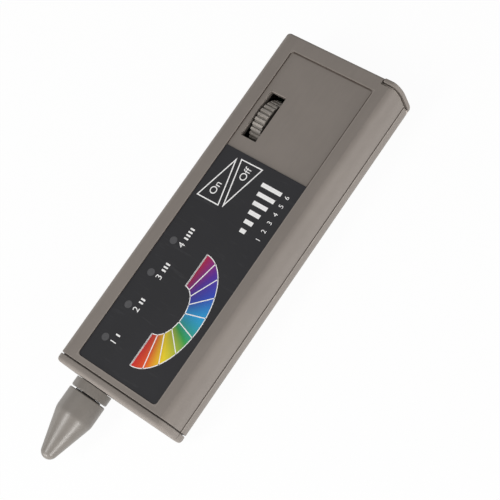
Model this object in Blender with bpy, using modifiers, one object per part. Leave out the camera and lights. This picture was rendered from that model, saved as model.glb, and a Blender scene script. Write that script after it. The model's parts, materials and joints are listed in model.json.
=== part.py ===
"""Handheld diamond tester, modelled as its separate moulded, turned and bought-in pieces.

Units are metres and Z is up. The tester lies on its back with its face up. The probe points
along -Y, the rear end along +Y, and the origin is at the middle of the footprint, on the floor.
"""

import math

import bmesh
import bpy
from mathutils import Matrix, Vector

# General fits
GAP = 0.0003
ADHESIVE_GAP = 0.0001
OVERRUN = 0.0010
WELD = 0.00001
SCREW_WELD = 0.00005
FLAT_ANGLE = math.radians(0.5)
SHARP_ANGLE = math.radians(40)
QUARTER_TURN = math.radians(90)
FULL_TURN = 4 * QUARTER_TURN

# Case, seen along its length
CASE_WIDTH = 0.0490
CASE_HEIGHT = 0.0232
PARTING_LIFT = 0.0005
SHOULDER_WIDTH = 0.00335
SHOULDER_DROP = 0.00665
BELLY_WIDTH = 0.00965
BELLY_RISE = 0.0097
WALL = 0.0020
LEAST_CORNER = 0.0004
ARC_STEPS = 8

# Case, along its length
BODY_LENGTH = 0.1330
BODY_FRONT_EDGE = 0.0003
BODY_REAR_EDGE = 0.0009
GROOVE_WIDTH = 0.0004
GROOVE_DEPTH = 0.0010
FLANGE_LENGTH = 0.0028
FLANGE_FRONT_EDGE = 0.0013
FLANGE_REAR_EDGE = 0.0003
FRONT_WALL = 0.0035
EDGE_STEPS = 3

# Face recess and label
RECESS_FRONT_MARGIN = 0.0021
RECESS_REAR_MARGIN = 0.0056
RECESS_SIDE_MARGIN = 0.00735
RECESS_DEPTH = 0.0006
RECESS_CORNER = 0.0014
FACE_FLOOR = 0.0022
LABEL_REAR_MARGIN = 0.0395
LABEL_THICKNESS = 0.0002
LABEL_REAR_CORNER = 0.0003
CORNER_STEPS = 5

# Tongue and rebate along the parting line
TONGUE_THICKNESS = 0.0008
TONGUE_HEIGHT = 0.0010
TONGUE_INSET = 0.0011
TONGUE_END_MARGIN = 0.0053

# Battery door at the rear, with its finger slot
DOOR_PLATE = 0.0016
DOOR_PROUD = 0.0002
DOOR_EDGE = 0.0004
DOOR_OVERHANG = 0.0022
DOOR_LIP_MARGIN = 0.0068
DOOR_RIM_LENGTH = 0.0025
DOOR_RIM_WALL = 0.0012
FINGER_SLOT_WIDTH = 0.0011
FINGER_SLOT_DEPTH = 0.0009
FINGER_SLOT_BOTTOM = 0.0090
LATCH_LENGTH = 0.0070
LATCH_HEIGHT = 0.0040
LATCH_THICKNESS = 0.0010

# Thumbwheel and its potentiometer
WHEEL_FLOOR_ROOM = 0.0023
WHEEL_WIDTH = 0.0041
WHEEL_SIDE_MARGIN = 0.01272
WHEEL_RECESS_MARGIN = 0.0250
WHEEL_PROUD = 0.0001
WHEEL_RIBS = 32
RIB_DEPTH = 0.00065
RIB_CREST_SHARE = 0.46
RIB_ROOT_SHARE = 0.26
WHEEL_RIM = 0.0024
WHEEL_HUB_RADIUS = 0.0029
WHEEL_DISH_DEPTH = 0.0011
WHEEL_SLOT_WIDTH = 0.00645
WHEEL_SLOT_LENGTH = 0.01855
SHAFT_RADIUS = 0.0015
SHAFT_IN_POT = 0.0030
WHEEL_SCREW_HEAD_RADIUS = 0.0018
WHEEL_SCREW_HEAD = 0.0008
WHEEL_SCREW_RADIUS = 0.0006
WHEEL_SCREW_DEPTH = 0.0020
POT_SEAT_ROOM = 0.0007
POT_THICKNESS = 0.0054
POT_BASE_WIDTH = 0.0090
POT_BASE_SHARE = 0.66

# Circuit board
BOARD_UNDERSIDE = 0.0052
BOARD_THICKNESS = 0.0016
BOARD_LED_MARGIN = 0.0021
BOARD_SNAP_MARGIN = 0.0033
BOARD_SIDE_MARGIN = 0.0040
BOARD_RIB_MARGIN = 0.0007
BOARD_ARM_ROOT = 0.0050
BOARD_ARM_REACH = 0.0139
BOARD_WHEEL_CLEARANCE = 0.0006
BOARD_HOLE_MARGIN = 0.0037
BOARD_HOLE_SETBACK = 0.0070
BOARD_ARM_HOLE_SETBACK = 0.0160
STANDOFF_RADIUS = 0.0022
BOARD_SCREW_HEAD_RADIUS = 0.0019
BOARD_SCREW_HEAD = 0.0013
BOARD_SCREW_RADIUS = 0.0009
BOARD_SCREW_GRIP = 0.0019

# Indicator lights
LED_SIDE_MARGIN = 0.01215
LED_FIRST = 0.0096
LED_PITCH = 0.01293
LED_COUNT = 4
LED_RADIUS = 0.0015
LED_HEIGHT = 0.0052
LED_RIM_RADIUS = 0.00175
LED_RIM_HEIGHT = 0.0008
LED_SETBACK = 0.0005
LED_DOME_STEPS = 3
LED_LEG_RADIUS = 0.00028
LED_LEG_PITCH = 0.00127
SPACER_RADIUS = 0.0018

# Parts on the board, placed by shares of its width and of its length
BUZZER_RADIUS = 0.0060
BUZZER_HEIGHT = 0.0065
BUZZER_HOLE_RADIUS = 0.0009
BUZZER_HOLE_DEPTH = 0.0015
BUZZER_PLACE_SHARES = (0.74, 0.38)
CAPACITOR_RADIUS = 0.0025
CAPACITOR_HEIGHT = 0.0070
CAPACITOR_CRIMP = 0.0003
CAPACITOR_BASE = 0.0006
CAPACITOR_PLACE_SHARES = ((0.36, 0.30), (0.36, 0.84))
CONTROLLER_SIDE = 0.0100
CONTROLLER_HEIGHT = 0.0016
CONTROLLER_ACROSS_SHARE = 0.62
CONTROLLER_CLEARANCE_SHARE = 0.3933
AMPLIFIER_LENGTH = 0.0094
AMPLIFIER_WIDTH_SHARE = 0.229
AMPLIFIER_HEIGHT = 0.0033
AMPLIFIER_PLACE_SHARES = (0.58, 0.14)
REGULATOR_RADIUS = 0.0024
REGULATOR_HEIGHT = 0.0046
REGULATOR_FLAT = 0.0014
REGULATOR_PLACE_SHARES = (0.63, 0.84)
CHIP_EDGE = 0.0003

# Case screws and their posts
CASE_SCREW_RADIUS = 0.0012
CASE_SCREW_HEAD_RADIUS = 0.0019
CASE_SCREW_HEAD = 0.0012
CASE_SCREW_LENGTH = 0.0160
CASE_SCREW_SETBACK = 0.00075
CASE_SCREW_SOCKET_RADIUS = 0.0008
CASE_SCREW_SOCKET_DEPTH = 0.0008
POST_RADIUS = 0.0025
POST_SIDE_MARGIN = 0.0082
POST_FRONT_SETBACK = 0.0060
POST_SNAP_MARGIN = 0.0066
POST_REAR_SETBACK = 0.0082
POST_SINK = 0.0005

# Nine volt battery, its snap and its foam pad
BATTERY_SIDE_MARGIN = 0.00485
BATTERY_FLOOR_ROOM = 0.0006
BATTERY_LENGTH = 0.0465
BATTERY_CORNER = 0.0035
STUD_PITCH_SHARE = 0.48
STUD_RADIUS = 0.0028
STUD_HEIGHT = 0.0027
STUD_NECK_RADIUS = 0.0024
CROWN_RADIUS = 0.0039
CROWN_BORE_RADIUS = 0.0031
CROWN_BORE_DEPTH = 0.0021
SNAP_LENGTH = 0.0058
SNAP_SIDE_MARGIN = 0.0015
SNAP_FACE_MARGIN = 0.00325
SNAP_EDGE = 0.0010
PAD_SIDE_MARGIN = 0.00325
PAD_FACE_MARGIN = 0.00325
PAD_THICKNESS = 0.0025
BAY_WHEEL_MARGIN = 0.00158
BAY_RIB = 0.0010
BAY_RIB_HEIGHT = 0.0070
RAIL_WIDTH = 0.0012
RAIL_PLACE_SHARE = 0.35

# Probe
PROBE_SIDE_MARGIN = 0.0136
CAP_LENGTH = 0.02425
CAP_GAP = 0.00055
CAP_PROUD = 0.0001
CAP_STRAIGHT = 0.0079
CAP_SHOULDER_RADIUS = 0.0060
CAP_NOSE_RADIUS = 0.00294
CAP_MOUTH_EDGE = 0.0003
CAP_TIP_WALL = 0.0026
CAP_TIP_ROOM = 0.0016
CAP_MOUTH_WALL = 0.00175
CAP_WALL = 0.0016
COLLAR_PROUD = 0.0003
COLLAR_LENGTH = 0.0034
COLLAR_EDGE = 0.0003
COLLAR_RETAINER_SHARE = 0.28
COLLAR_SHANK_SHARE = 0.77
COLLAR_RETAINER = 0.0014
SLEEVE_STRAIGHT = 0.0090
SLEEVE_TIP_RADIUS = 0.0015
SLEEVE_TAIL_RADIUS = 0.0026
SLEEVE_TAIL_REACH = 0.0020
SLEEVE_CHAMBER_RADIUS = 0.0019
SLEEVE_NOSE_WALL = 0.0045
TIP_RADIUS = 0.0006
TIP_POINT_RADIUS = 0.00022
TIP_POINT = 0.0012
TIP_REACH = 0.0022
TIP_HEAD_RADIUS = 0.0016
TIP_HEAD = 0.0012
TIP_GUIDE = 0.0030
SPRING_RADIUS = 0.00125
SPRING_WIRE_RADIUS = 0.00018
SPRING_TURNS = 6
SPRING_POINTS = 8
HEATER_RADIUS = 0.0016
HEATER_REACH = 0.00424
HEATER_LENGTH = 0.0050
PLUG_HEAD = 0.0010

# Leads, each a path from its start to the board, as shares of the way across and of the way down
LEAD_RADIUS = 0.0005
LEAD_STEPS = 3
LEAD_PATH_SHARES = ((0, 0), (0.30, 0.03), (0.72, 0.22), (1.0, 0.64), (1.0, 1.0))
PROBE_LEAD_SPACING = 0.0024
PROBE_LEAD_REACH = 0.0060
PROBE_LEAD_SHIFT = 0.0030
BATTERY_LEAD_SPACING = 0.0026
BATTERY_LEAD_REACH = 0.0052

# Facets round a full turn
FINE_TURN = 40
MEDIUM_TURN = 28
SMALL_TURN = 16
TINY_TURN = 8

# Stations along Y, from the nose of the cap to the rear face of the door
OVERALL_LENGTH = (
    CAP_LENGTH + CAP_GAP + COLLAR_LENGTH + GAP + FLANGE_LENGTH + GROOVE_WIDTH + BODY_LENGTH + DOOR_PROUD
)
NOSE_Y = -OVERALL_LENGTH / 2
CAP_MOUTH_Y = NOSE_Y + CAP_LENGTH
COLLAR_FRONT_Y = CAP_MOUTH_Y + CAP_GAP
FLANGE_FRONT_Y = COLLAR_FRONT_Y + COLLAR_LENGTH + GAP
FLANGE_REAR_Y = FLANGE_FRONT_Y + FLANGE_LENGTH
BODY_FRONT_Y = FLANGE_REAR_Y + GROOVE_WIDTH
BODY_REAR_Y = BODY_FRONT_Y + BODY_LENGTH
CAVITY_FRONT_Y = FLANGE_FRONT_Y + FRONT_WALL
RECESS_FRONT_Y = BODY_FRONT_Y + RECESS_FRONT_MARGIN
RECESS_REAR_Y = BODY_REAR_Y - RECESS_REAR_MARGIN
WHEEL_Y = RECESS_REAR_Y - WHEEL_RECESS_MARGIN
DOOR_REAR_Y = BODY_REAR_Y + DOOR_PROUD
DOOR_FRONT_Y = DOOR_REAR_Y - DOOR_PLATE
SHELL_REAR_Y = DOOR_FRONT_Y - GAP
FINGER_SLOT_FRONT_Y = DOOR_FRONT_Y - FINGER_SLOT_WIDTH
PAD_REAR_Y = DOOR_FRONT_Y - ADHESIVE_GAP
BATTERY_REAR_Y = PAD_REAR_Y - PAD_THICKNESS - GAP
BATTERY_FRONT_Y = BATTERY_REAR_Y - BATTERY_LENGTH
SNAP_REAR_Y = BATTERY_FRONT_Y - GAP
SNAP_FRONT_Y = SNAP_REAR_Y - SNAP_LENGTH
BOARD_FRONT_Y = CAVITY_FRONT_Y + POST_FRONT_SETBACK + POST_RADIUS + GAP
BOARD_REAR_Y = SNAP_FRONT_Y - BOARD_SNAP_MARGIN

# Places across, along X
CASE_SIDE_X = CASE_WIDTH / 2
RECESS_WIDTH = CASE_WIDTH - 2 * RECESS_SIDE_MARGIN
LED_X = -CASE_SIDE_X + LED_SIDE_MARGIN
PROBE_X = -CASE_SIDE_X + PROBE_SIDE_MARGIN
DOOR_LIP_START = CASE_SIDE_X - DOOR_LIP_MARGIN
WHEEL_CENTRE_X = -CASE_SIDE_X + WHEEL_SIDE_MARGIN
POST_X = CASE_SIDE_X - POST_SIDE_MARGIN
WHEEL_LEFT_X = WHEEL_CENTRE_X - WHEEL_WIDTH / 2
WHEEL_RIGHT_X = WHEEL_CENTRE_X + WHEEL_WIDTH / 2
POT_RIGHT_X = WHEEL_LEFT_X - GAP
POT_LEFT_X = POT_RIGHT_X - POT_THICKNESS
RIB_LEFT_X = WHEEL_RIGHT_X + BAY_WHEEL_MARGIN
RIB_RIGHT_X = RIB_LEFT_X + BAY_RIB
BATTERY_LEFT_X = RIB_RIGHT_X + GAP
BATTERY_RIGHT_X = CASE_SIDE_X - BATTERY_SIDE_MARGIN
BATTERY_WIDTH = BATTERY_RIGHT_X - BATTERY_LEFT_X
BATTERY_CENTRE_X = (BATTERY_LEFT_X + BATTERY_RIGHT_X) / 2
STUD_PITCH = BATTERY_WIDTH * STUD_PITCH_SHARE
SNAP_WIDTH = BATTERY_WIDTH - 2 * SNAP_SIDE_MARGIN
PAD_WIDTH = BATTERY_WIDTH - 2 * PAD_SIDE_MARGIN
BOARD_LEFT_X = LED_X - BOARD_LED_MARGIN
BOARD_RIGHT_X = POST_X - POST_RADIUS - GAP
AMPLIFIER_WIDTH = (BOARD_RIGHT_X - BOARD_LEFT_X) * AMPLIFIER_WIDTH_SHARE
ARM_LEFT_X = -CASE_SIDE_X + BOARD_SIDE_MARGIN
ARM_RIGHT_X = RIB_LEFT_X - BOARD_RIB_MARGIN

# Heights
RECESS_FLOOR_Z = CASE_HEIGHT - RECESS_DEPTH
ROOF_Z = RECESS_FLOOR_Z - FACE_FLOOR
PARTING_HEIGHT = CASE_HEIGHT / 2 + PARTING_LIFT
WHEEL_RADIUS = (CASE_HEIGHT + WHEEL_PROUD - WALL - WHEEL_FLOOR_ROOM) / 2
WHEEL_DISH_RADIUS = WHEEL_RADIUS - WHEEL_RIM
WHEEL_Z = CASE_HEIGHT + WHEEL_PROUD - WHEEL_RADIUS
BOARD_TOP_Z = BOARD_UNDERSIDE + BOARD_THICKNESS
BOARD_SEAT_Z = BOARD_TOP_Z + GAP
POT_RADIUS = WHEEL_Z - BOARD_SEAT_Z - POT_SEAT_ROOM
LED_BASE_Z = RECESS_FLOOR_Z - LED_SETBACK - LED_HEIGHT
BATTERY_BOTTOM_Z = WALL + BATTERY_FLOOR_ROOM
BATTERY_THICKNESS = ROOF_Z - GAP - BATTERY_BOTTOM_Z
BATTERY_CENTRE_Z = BATTERY_BOTTOM_Z + BATTERY_THICKNESS / 2
SNAP_THICKNESS = BATTERY_THICKNESS - 2 * SNAP_FACE_MARGIN
PAD_HEIGHT = BATTERY_THICKNESS - 2 * PAD_FACE_MARGIN
PROBE_Z = PARTING_HEIGHT

# Probe, sized by the case and by the length of its cap
COLLAR_RETAINER_RADIUS = CASE_HEIGHT * COLLAR_RETAINER_SHARE
COLLAR_SHANK_RADIUS = COLLAR_RETAINER_RADIUS * COLLAR_SHANK_SHARE
COLLAR_RADIUS = COLLAR_RETAINER_RADIUS + COLLAR_PROUD
CAP_RADIUS = COLLAR_RADIUS + CAP_PROUD
CAP_CONE_LENGTH = CAP_LENGTH - CAP_STRAIGHT - CAP_NOSE_RADIUS
CAP_TAPER = math.acos(CAP_NOSE_RADIUS / math.hypot(CAP_RADIUS, CAP_CONE_LENGTH)) - math.atan2(
    CAP_CONE_LENGTH, CAP_RADIUS
)
SLEEVE_RADIUS = CAP_RADIUS - CAP_MOUTH_WALL - GAP
SLEEVE_CONE = CAP_LENGTH + CAP_GAP - CAP_TIP_WALL - CAP_TIP_ROOM - TIP_REACH - SLEEVE_STRAIGHT


def srgb(red, green, blue):
    """Turns 8-bit display values into the linear colour that a material takes."""
    linear = []
    for value in (red, green, blue):
        share = value / 255
        linear.append(share / 12.92 if share <= 0.04045 else ((share + 0.055) / 1.055) ** 2.4)
    return (*linear, 1.0)


# Colour, roughness and metallic value of each material
MATERIALS = {
    "case plastic": (srgb(124, 118, 112), 0.42, 0.0),
    "label film": (srgb(44, 44, 47), 0.35, 0.0),
    "wheel plastic": (srgb(150, 146, 138), 0.40, 0.0),
    "cap plastic": (srgb(136, 131, 124), 0.32, 0.0),
    "collar plastic": (srgb(112, 107, 102), 0.40, 0.0),
    "black plastic": (srgb(22, 22, 23), 0.45, 0.0),
    "copper": (srgb(184, 115, 78), 0.28, 1.0),
    "steel": (srgb(180, 180, 182), 0.30, 1.0),
    "board": (srgb(28, 84, 52), 0.50, 0.0),
    "led lens": (srgb(200, 205, 205), 0.15, 0.0),
    "nylon": (srgb(225, 222, 212), 0.50, 0.0),
    "ceramic": (srgb(222, 214, 196), 0.60, 0.0),
    "battery jacket": (srgb(58, 60, 66), 0.35, 0.3),
    "foam": (srgb(40, 40, 42), 0.95, 0.0),
    "red insulation": (srgb(160, 26, 24), 0.45, 0.0),
    "black insulation": (srgb(26, 26, 27), 0.45, 0.0),
}


def clear_scene():
    """Removes what a new file starts with."""
    for item in list(bpy.data.objects):
        bpy.data.objects.remove(item, do_unlink=True)


def new_collection(name):
    """Makes a collection in the scene."""
    collection = bpy.data.collections.new(name)
    bpy.context.scene.collection.children.link(collection)
    return collection


def material(name):
    """Returns the Principled material of that name, made once."""
    found = bpy.data.materials.get(name)
    if found:
        return found
    colour, roughness, metallic = MATERIALS[name]
    made = bpy.data.materials.new(name)
    made.use_nodes = True
    shader = made.node_tree.nodes["Principled BSDF"]
    shader.inputs["Base Color"].default_value = colour
    shader.inputs["Roughness"].default_value = roughness
    shader.inputs["Metallic"].default_value = metallic
    made.diffuse_color = colour
    return made


def to_mesh(name, shape):
    """Ends a bmesh as a mesh with its faces turned outwards."""
    bmesh.ops.recalc_face_normals(shape, faces=shape.faces)
    mesh = bpy.data.meshes.new(name)
    shape.to_mesh(mesh)
    shape.free()
    mesh.shade_smooth()
    mesh.set_sharp_from_angle(angle=SHARP_ANGLE)
    return mesh


def baked(item, name):
    """Turns an object, with its modifiers, into one welded mesh, and removes the object."""
    bpy.context.view_layer.update()
    seen = item.evaluated_get(bpy.context.evaluated_depsgraph_get())
    mesh = bpy.data.meshes.new_from_object(seen)
    mesh.transform(item.matrix_world)
    shape = bmesh.new()
    shape.from_mesh(mesh)
    bmesh.ops.remove_doubles(shape, verts=shape.verts, dist=WELD)
    bmesh.ops.dissolve_limit(shape, angle_limit=FLAT_ANGLE, verts=shape.verts, edges=shape.edges)
    bpy.data.objects.remove(item, do_unlink=True)
    return to_mesh(name, shape)


class Workshop:
    """Keeps the parts and the cutters in two collections, and makes objects in them."""

    def __init__(self):
        self.parts = new_collection("diamond_tester")
        self.cutters = new_collection("cutters")

    def add(self, name, mesh, location=(0, 0, 0), turn=None, finish=None):
        """Links a mesh as a part where it has a finish, else as a cutter."""
        item = bpy.data.objects.new(name, mesh)
        item.location = location
        if turn:
            item.rotation_euler = turn
        if finish:
            self.parts.objects.link(item)
            mesh.materials.clear()
            mesh.materials.append(material(finish))
        else:
            self.cutters.objects.link(item)
            item.hide_render = True
            item.display_type = "WIRE"
        return item

    def box(self, name, low, high, finish=None):
        """A box between two opposite corners, with its origin at its middle."""
        low, high = Vector(low), Vector(high)
        shape = bmesh.new()
        bmesh.ops.create_cube(shape, size=1, matrix=Matrix.Diagonal((*(high - low), 1)))
        return self.add(name, to_mesh(name, shape), (low + high) / 2, None, finish)

    def rod(self, name, radius, start, end, facets=SMALL_TURN, finish=None):
        """A cylinder between two points on its axis."""
        start, end = Vector(start), Vector(end)
        along = end - start
        shape = bmesh.new()
        bmesh.ops.create_cone(
            shape, cap_ends=True, segments=facets, radius1=radius, radius2=radius, depth=along.length
        )
        turn = along.to_track_quat("Z", "Y").to_euler()
        return self.add(name, to_mesh(name, shape), (start + end) / 2, turn, finish)

    def turned(self, name, profile, location, turn=None, facets=SMALL_TURN, finish=None):
        """A turned piece: (radius, height) points swept round the local Z axis."""
        mesh = bpy.data.meshes.new(name)
        count = len(profile)
        edges = [(step, step + 1) for step in range(count - 1)]
        if profile[0][0] > 0 and profile[-1][0] > 0:
            edges.append((count - 1, 0))
        mesh.from_pydata([(radius, 0, height) for radius, height in profile], edges, [])
        blank = bpy.data.objects.new(name + " profile", mesh)
        self.cutters.objects.link(blank)
        sweep = blank.modifiers.new("sweep", "SCREW")
        sweep.axis = "Z"
        sweep.steps = facets
        sweep.render_steps = facets
        sweep.use_merge_vertices = True
        sweep.merge_threshold = SCREW_WELD
        return self.add(name, baked(blank, name), location, turn, finish)

    def slab(self, name, outline, thickness, location, turn=None, finish=None):
        """A flat outline, extruded evenly to both sides along its local Z axis."""
        curve = bpy.data.curves.new(name, "CURVE")
        curve.dimensions = "2D"
        curve.fill_mode = "BOTH"
        curve.extrude = thickness / 2
        spline = curve.splines.new("POLY")
        spline.points.add(len(outline) - 1)
        for point, (across, up) in zip(spline.points, outline):
            point.co = (across, up, 0, 1)
        spline.use_cyclic_u = True
        blank = bpy.data.objects.new(name + " outline", curve)
        self.cutters.objects.link(blank)
        return self.add(name, baked(blank, name), location, turn, finish)

    def tube(self, name, points, radius, finish):
        """A wire through the given points, with closed ends."""
        curve = bpy.data.curves.new(name, "CURVE")
        curve.dimensions = "3D"
        curve.bevel_depth = radius
        curve.bevel_resolution = 2
        curve.use_fill_caps = True
        spline = curve.splines.new("POLY")
        spline.points.add(len(points) - 1)
        for point, place in zip(spline.points, points):
            point.co = (*place, 1)
        blank = bpy.data.objects.new(name + " route", curve)
        self.cutters.objects.link(blank)
        return self.add(name, baked(blank, name), (0, 0, 0), None, finish)


def boolean(target, tool, operation="DIFFERENCE"):
    """Cuts one object with another, or joins it."""
    change = target.modifiers.new(tool.name, "BOOLEAN")
    change.operation = operation
    change.solver = "EXACT"
    change.object = tool


def bevel(target, width, steps, angle=SHARP_ANGLE):
    """Rounds the edges that are sharper than the angle."""
    edge = target.modifiers.new("edge", "BEVEL")
    edge.width = width
    edge.segments = steps
    edge.limit_method = "ANGLE"
    edge.angle_limit = angle


def bevel_rim(target, width, side):
    """Rounds the rim of one end of a slab: side is 1 for its upper end, -1 for its lower."""
    group = target.vertex_groups.new(name=f"rim {side}")
    group.add([vertex.index for vertex in target.data.vertices if vertex.co.z * side > 0], 1.0, "REPLACE")
    edge = target.modifiers.new(group.name, "BEVEL")
    edge.width = width
    edge.segments = EDGE_STEPS
    edge.limit_method = "VGROUP"
    edge.vertex_group = group.name


def quarter(centre, radii, start, steps):
    """Points of a quarter ellipse, anticlockwise from the start angle."""
    points = []
    for step in range(steps + 1):
        angle = start + QUARTER_TURN * step / steps
        points.append((centre[0] + radii[0] * math.cos(angle), centre[1] + radii[1] * math.sin(angle)))
    return points


def case_section(inset=0.0, top=CASE_HEIGHT):
    """The case's cross-section, drawn in by a wall and cut off at a height, as (x, z) points."""
    half = CASE_SIDE_X - inset
    top = min(top, CASE_HEIGHT - inset)
    drop = max(top - (CASE_HEIGHT - SHOULDER_DROP), LEAST_CORNER)
    shoulder = (max(SHOULDER_WIDTH - inset, LEAST_CORNER), drop)
    belly = (max(BELLY_WIDTH - inset, LEAST_CORNER), max(BELLY_RISE - inset, LEAST_CORNER))
    right = quarter((half - belly[0], inset + belly[1]), belly, -QUARTER_TURN, ARC_STEPS)
    right += quarter((half - shoulder[0], top - shoulder[1]), shoulder, 0, ARC_STEPS)
    return right + [(-across, up) for across, up in reversed(right)]


def rounded_rectangle(low, high, front_radius, rear_radius):
    """A rectangle, anticlockwise, with one radius at its low corners and one at its high ones."""
    corners = (
        (low[0] + front_radius, low[1] + front_radius, front_radius, 2 * QUARTER_TURN),
        (high[0] - front_radius, low[1] + front_radius, front_radius, 3 * QUARTER_TURN),
        (high[0] - rear_radius, high[1] - rear_radius, rear_radius, 0),
        (low[0] + rear_radius, high[1] - rear_radius, rear_radius, QUARTER_TURN),
    )
    points = []
    for across, up, radius, start in corners:
        points += quarter((across, up), (radius, radius), start, CORNER_STEPS)
    return points


def along_case(shop, name, outline, front, rear, finish=None):
    """Sweeps a cross-section along the case, between two stations. Its upper end is the front."""
    middle = (0, (front + rear) / 2, 0)
    return shop.slab(name, outline, rear - front, middle, (QUARTER_TURN, 0, 0), finish)


def at(place, height):
    """A point over a place on the floor plan."""
    return Vector((place[0], place[1], height))


def post_places():
    """Where the screw posts stand: two at the front, one by the battery snap, one at the rear."""
    front = CAVITY_FRONT_Y + POST_FRONT_SETBACK
    return (
        (-POST_X, front),
        (POST_X, front),
        (POST_X, SNAP_FRONT_Y - POST_SNAP_MARGIN),
        (-POST_X, SHELL_REAR_Y - POST_REAR_SETBACK),
    )


def standoff_places():
    """Where the board is screwed down: two on its right side, and one on its arm."""
    right = BOARD_RIGHT_X - BOARD_HOLE_MARGIN
    return (
        (right, BOARD_FRONT_Y + BOARD_HOLE_SETBACK),
        (right, BOARD_REAR_Y - BOARD_HOLE_SETBACK),
        (ARM_LEFT_X + BOARD_HOLE_MARGIN, WHEEL_Y - BOARD_ARM_HOLE_SETBACK),
    )


def led_places():
    """Where the row of lights stands."""
    return [(LED_X, RECESS_FRONT_Y + LED_FIRST + LED_PITCH * number) for number in range(LED_COUNT)]


def board_place(shares):
    """A place on the wide part of the board."""
    return (
        BOARD_LEFT_X + (BOARD_RIGHT_X - BOARD_LEFT_X) * shares[0],
        BOARD_FRONT_Y + (BOARD_REAR_Y - BOARD_FRONT_Y) * shares[1],
    )


def recess_outline(side_gap, front, rear, rear_corner):
    """Outline of the face recess, or of the label in it."""
    half = RECESS_WIDTH / 2 - side_gap
    return rounded_rectangle((-half, front), (half, rear), RECESS_CORNER - side_gap, rear_corner)


def case_blank(shop):
    """The whole outside of the case: body, front groove and flange, as one mesh."""
    body = along_case(shop, "body blank", case_section(), BODY_FRONT_Y, BODY_REAR_Y)
    bevel_rim(body, BODY_FRONT_EDGE, 1)
    bevel_rim(body, BODY_REAR_EDGE, -1)
    neck_front = FLANGE_FRONT_Y + FLANGE_LENGTH / 2
    neck_rear = BODY_FRONT_Y + RECESS_FRONT_MARGIN / 2
    neck = along_case(shop, "groove floor", case_section(GROOVE_DEPTH), neck_front, neck_rear)
    flange = along_case(shop, "flange blank", case_section(), FLANGE_FRONT_Y, FLANGE_REAR_Y)
    bevel_rim(flange, FLANGE_FRONT_EDGE, 1)
    bevel_rim(flange, FLANGE_REAR_EDGE, -1)
    boolean(body, neck, "UNION")
    boolean(body, flange, "UNION")
    return baked(body, "case blank")


def shell_cutters(shop):
    """What both half shells lose: the cavity, the probe hole and the finger slot."""
    cavity = along_case(shop, "cavity", case_section(WALL, ROOF_Z), CAVITY_FRONT_Y, BODY_REAR_Y + OVERRUN)
    probe_hole = shop.rod(
        "probe hole",
        COLLAR_SHANK_RADIUS + GAP,
        (PROBE_X, FLANGE_FRONT_Y - OVERRUN, PROBE_Z),
        (PROBE_X, CAVITY_FRONT_Y + OVERRUN, PROBE_Z),
        FINE_TURN,
    )
    finger_slot = shop.box(
        "finger slot",
        (DOOR_LIP_START, FINGER_SLOT_FRONT_Y, FINGER_SLOT_BOTTOM),
        (CASE_SIDE_X + OVERRUN, BODY_REAR_Y + OVERRUN, CASE_HEIGHT + OVERRUN),
    )
    slot_floor = along_case(
        shop,
        "finger slot floor",
        case_section(FINGER_SLOT_DEPTH),
        FINGER_SLOT_FRONT_Y - OVERRUN,
        BODY_REAR_Y + 2 * OVERRUN,
    )
    boolean(finger_slot, slot_floor)
    return cavity, probe_hole, finger_slot


def tongue_spans():
    """The x range of the tongue on each side of the case."""
    outer = CASE_SIDE_X - TONGUE_INSET
    inner = outer - TONGUE_THICKNESS
    return {"left": (-outer, -inner), "right": (inner, outer)}


def half_shell(shop, name, blank, cutters, low, high):
    """One half of the case: the blank less what lies between two heights, and less the cutters."""
    shell = shop.add(name, blank.copy(), finish="case plastic")
    side = CASE_SIDE_X + OVERRUN
    other_half = shop.box(
        f"{name} other half",
        (-side, FLANGE_FRONT_Y - OVERRUN, low),
        (side, DOOR_REAR_Y + OVERRUN, high),
    )
    boolean(shell, other_half)
    for cutter in cutters:
        boolean(shell, cutter)
    return shell


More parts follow.
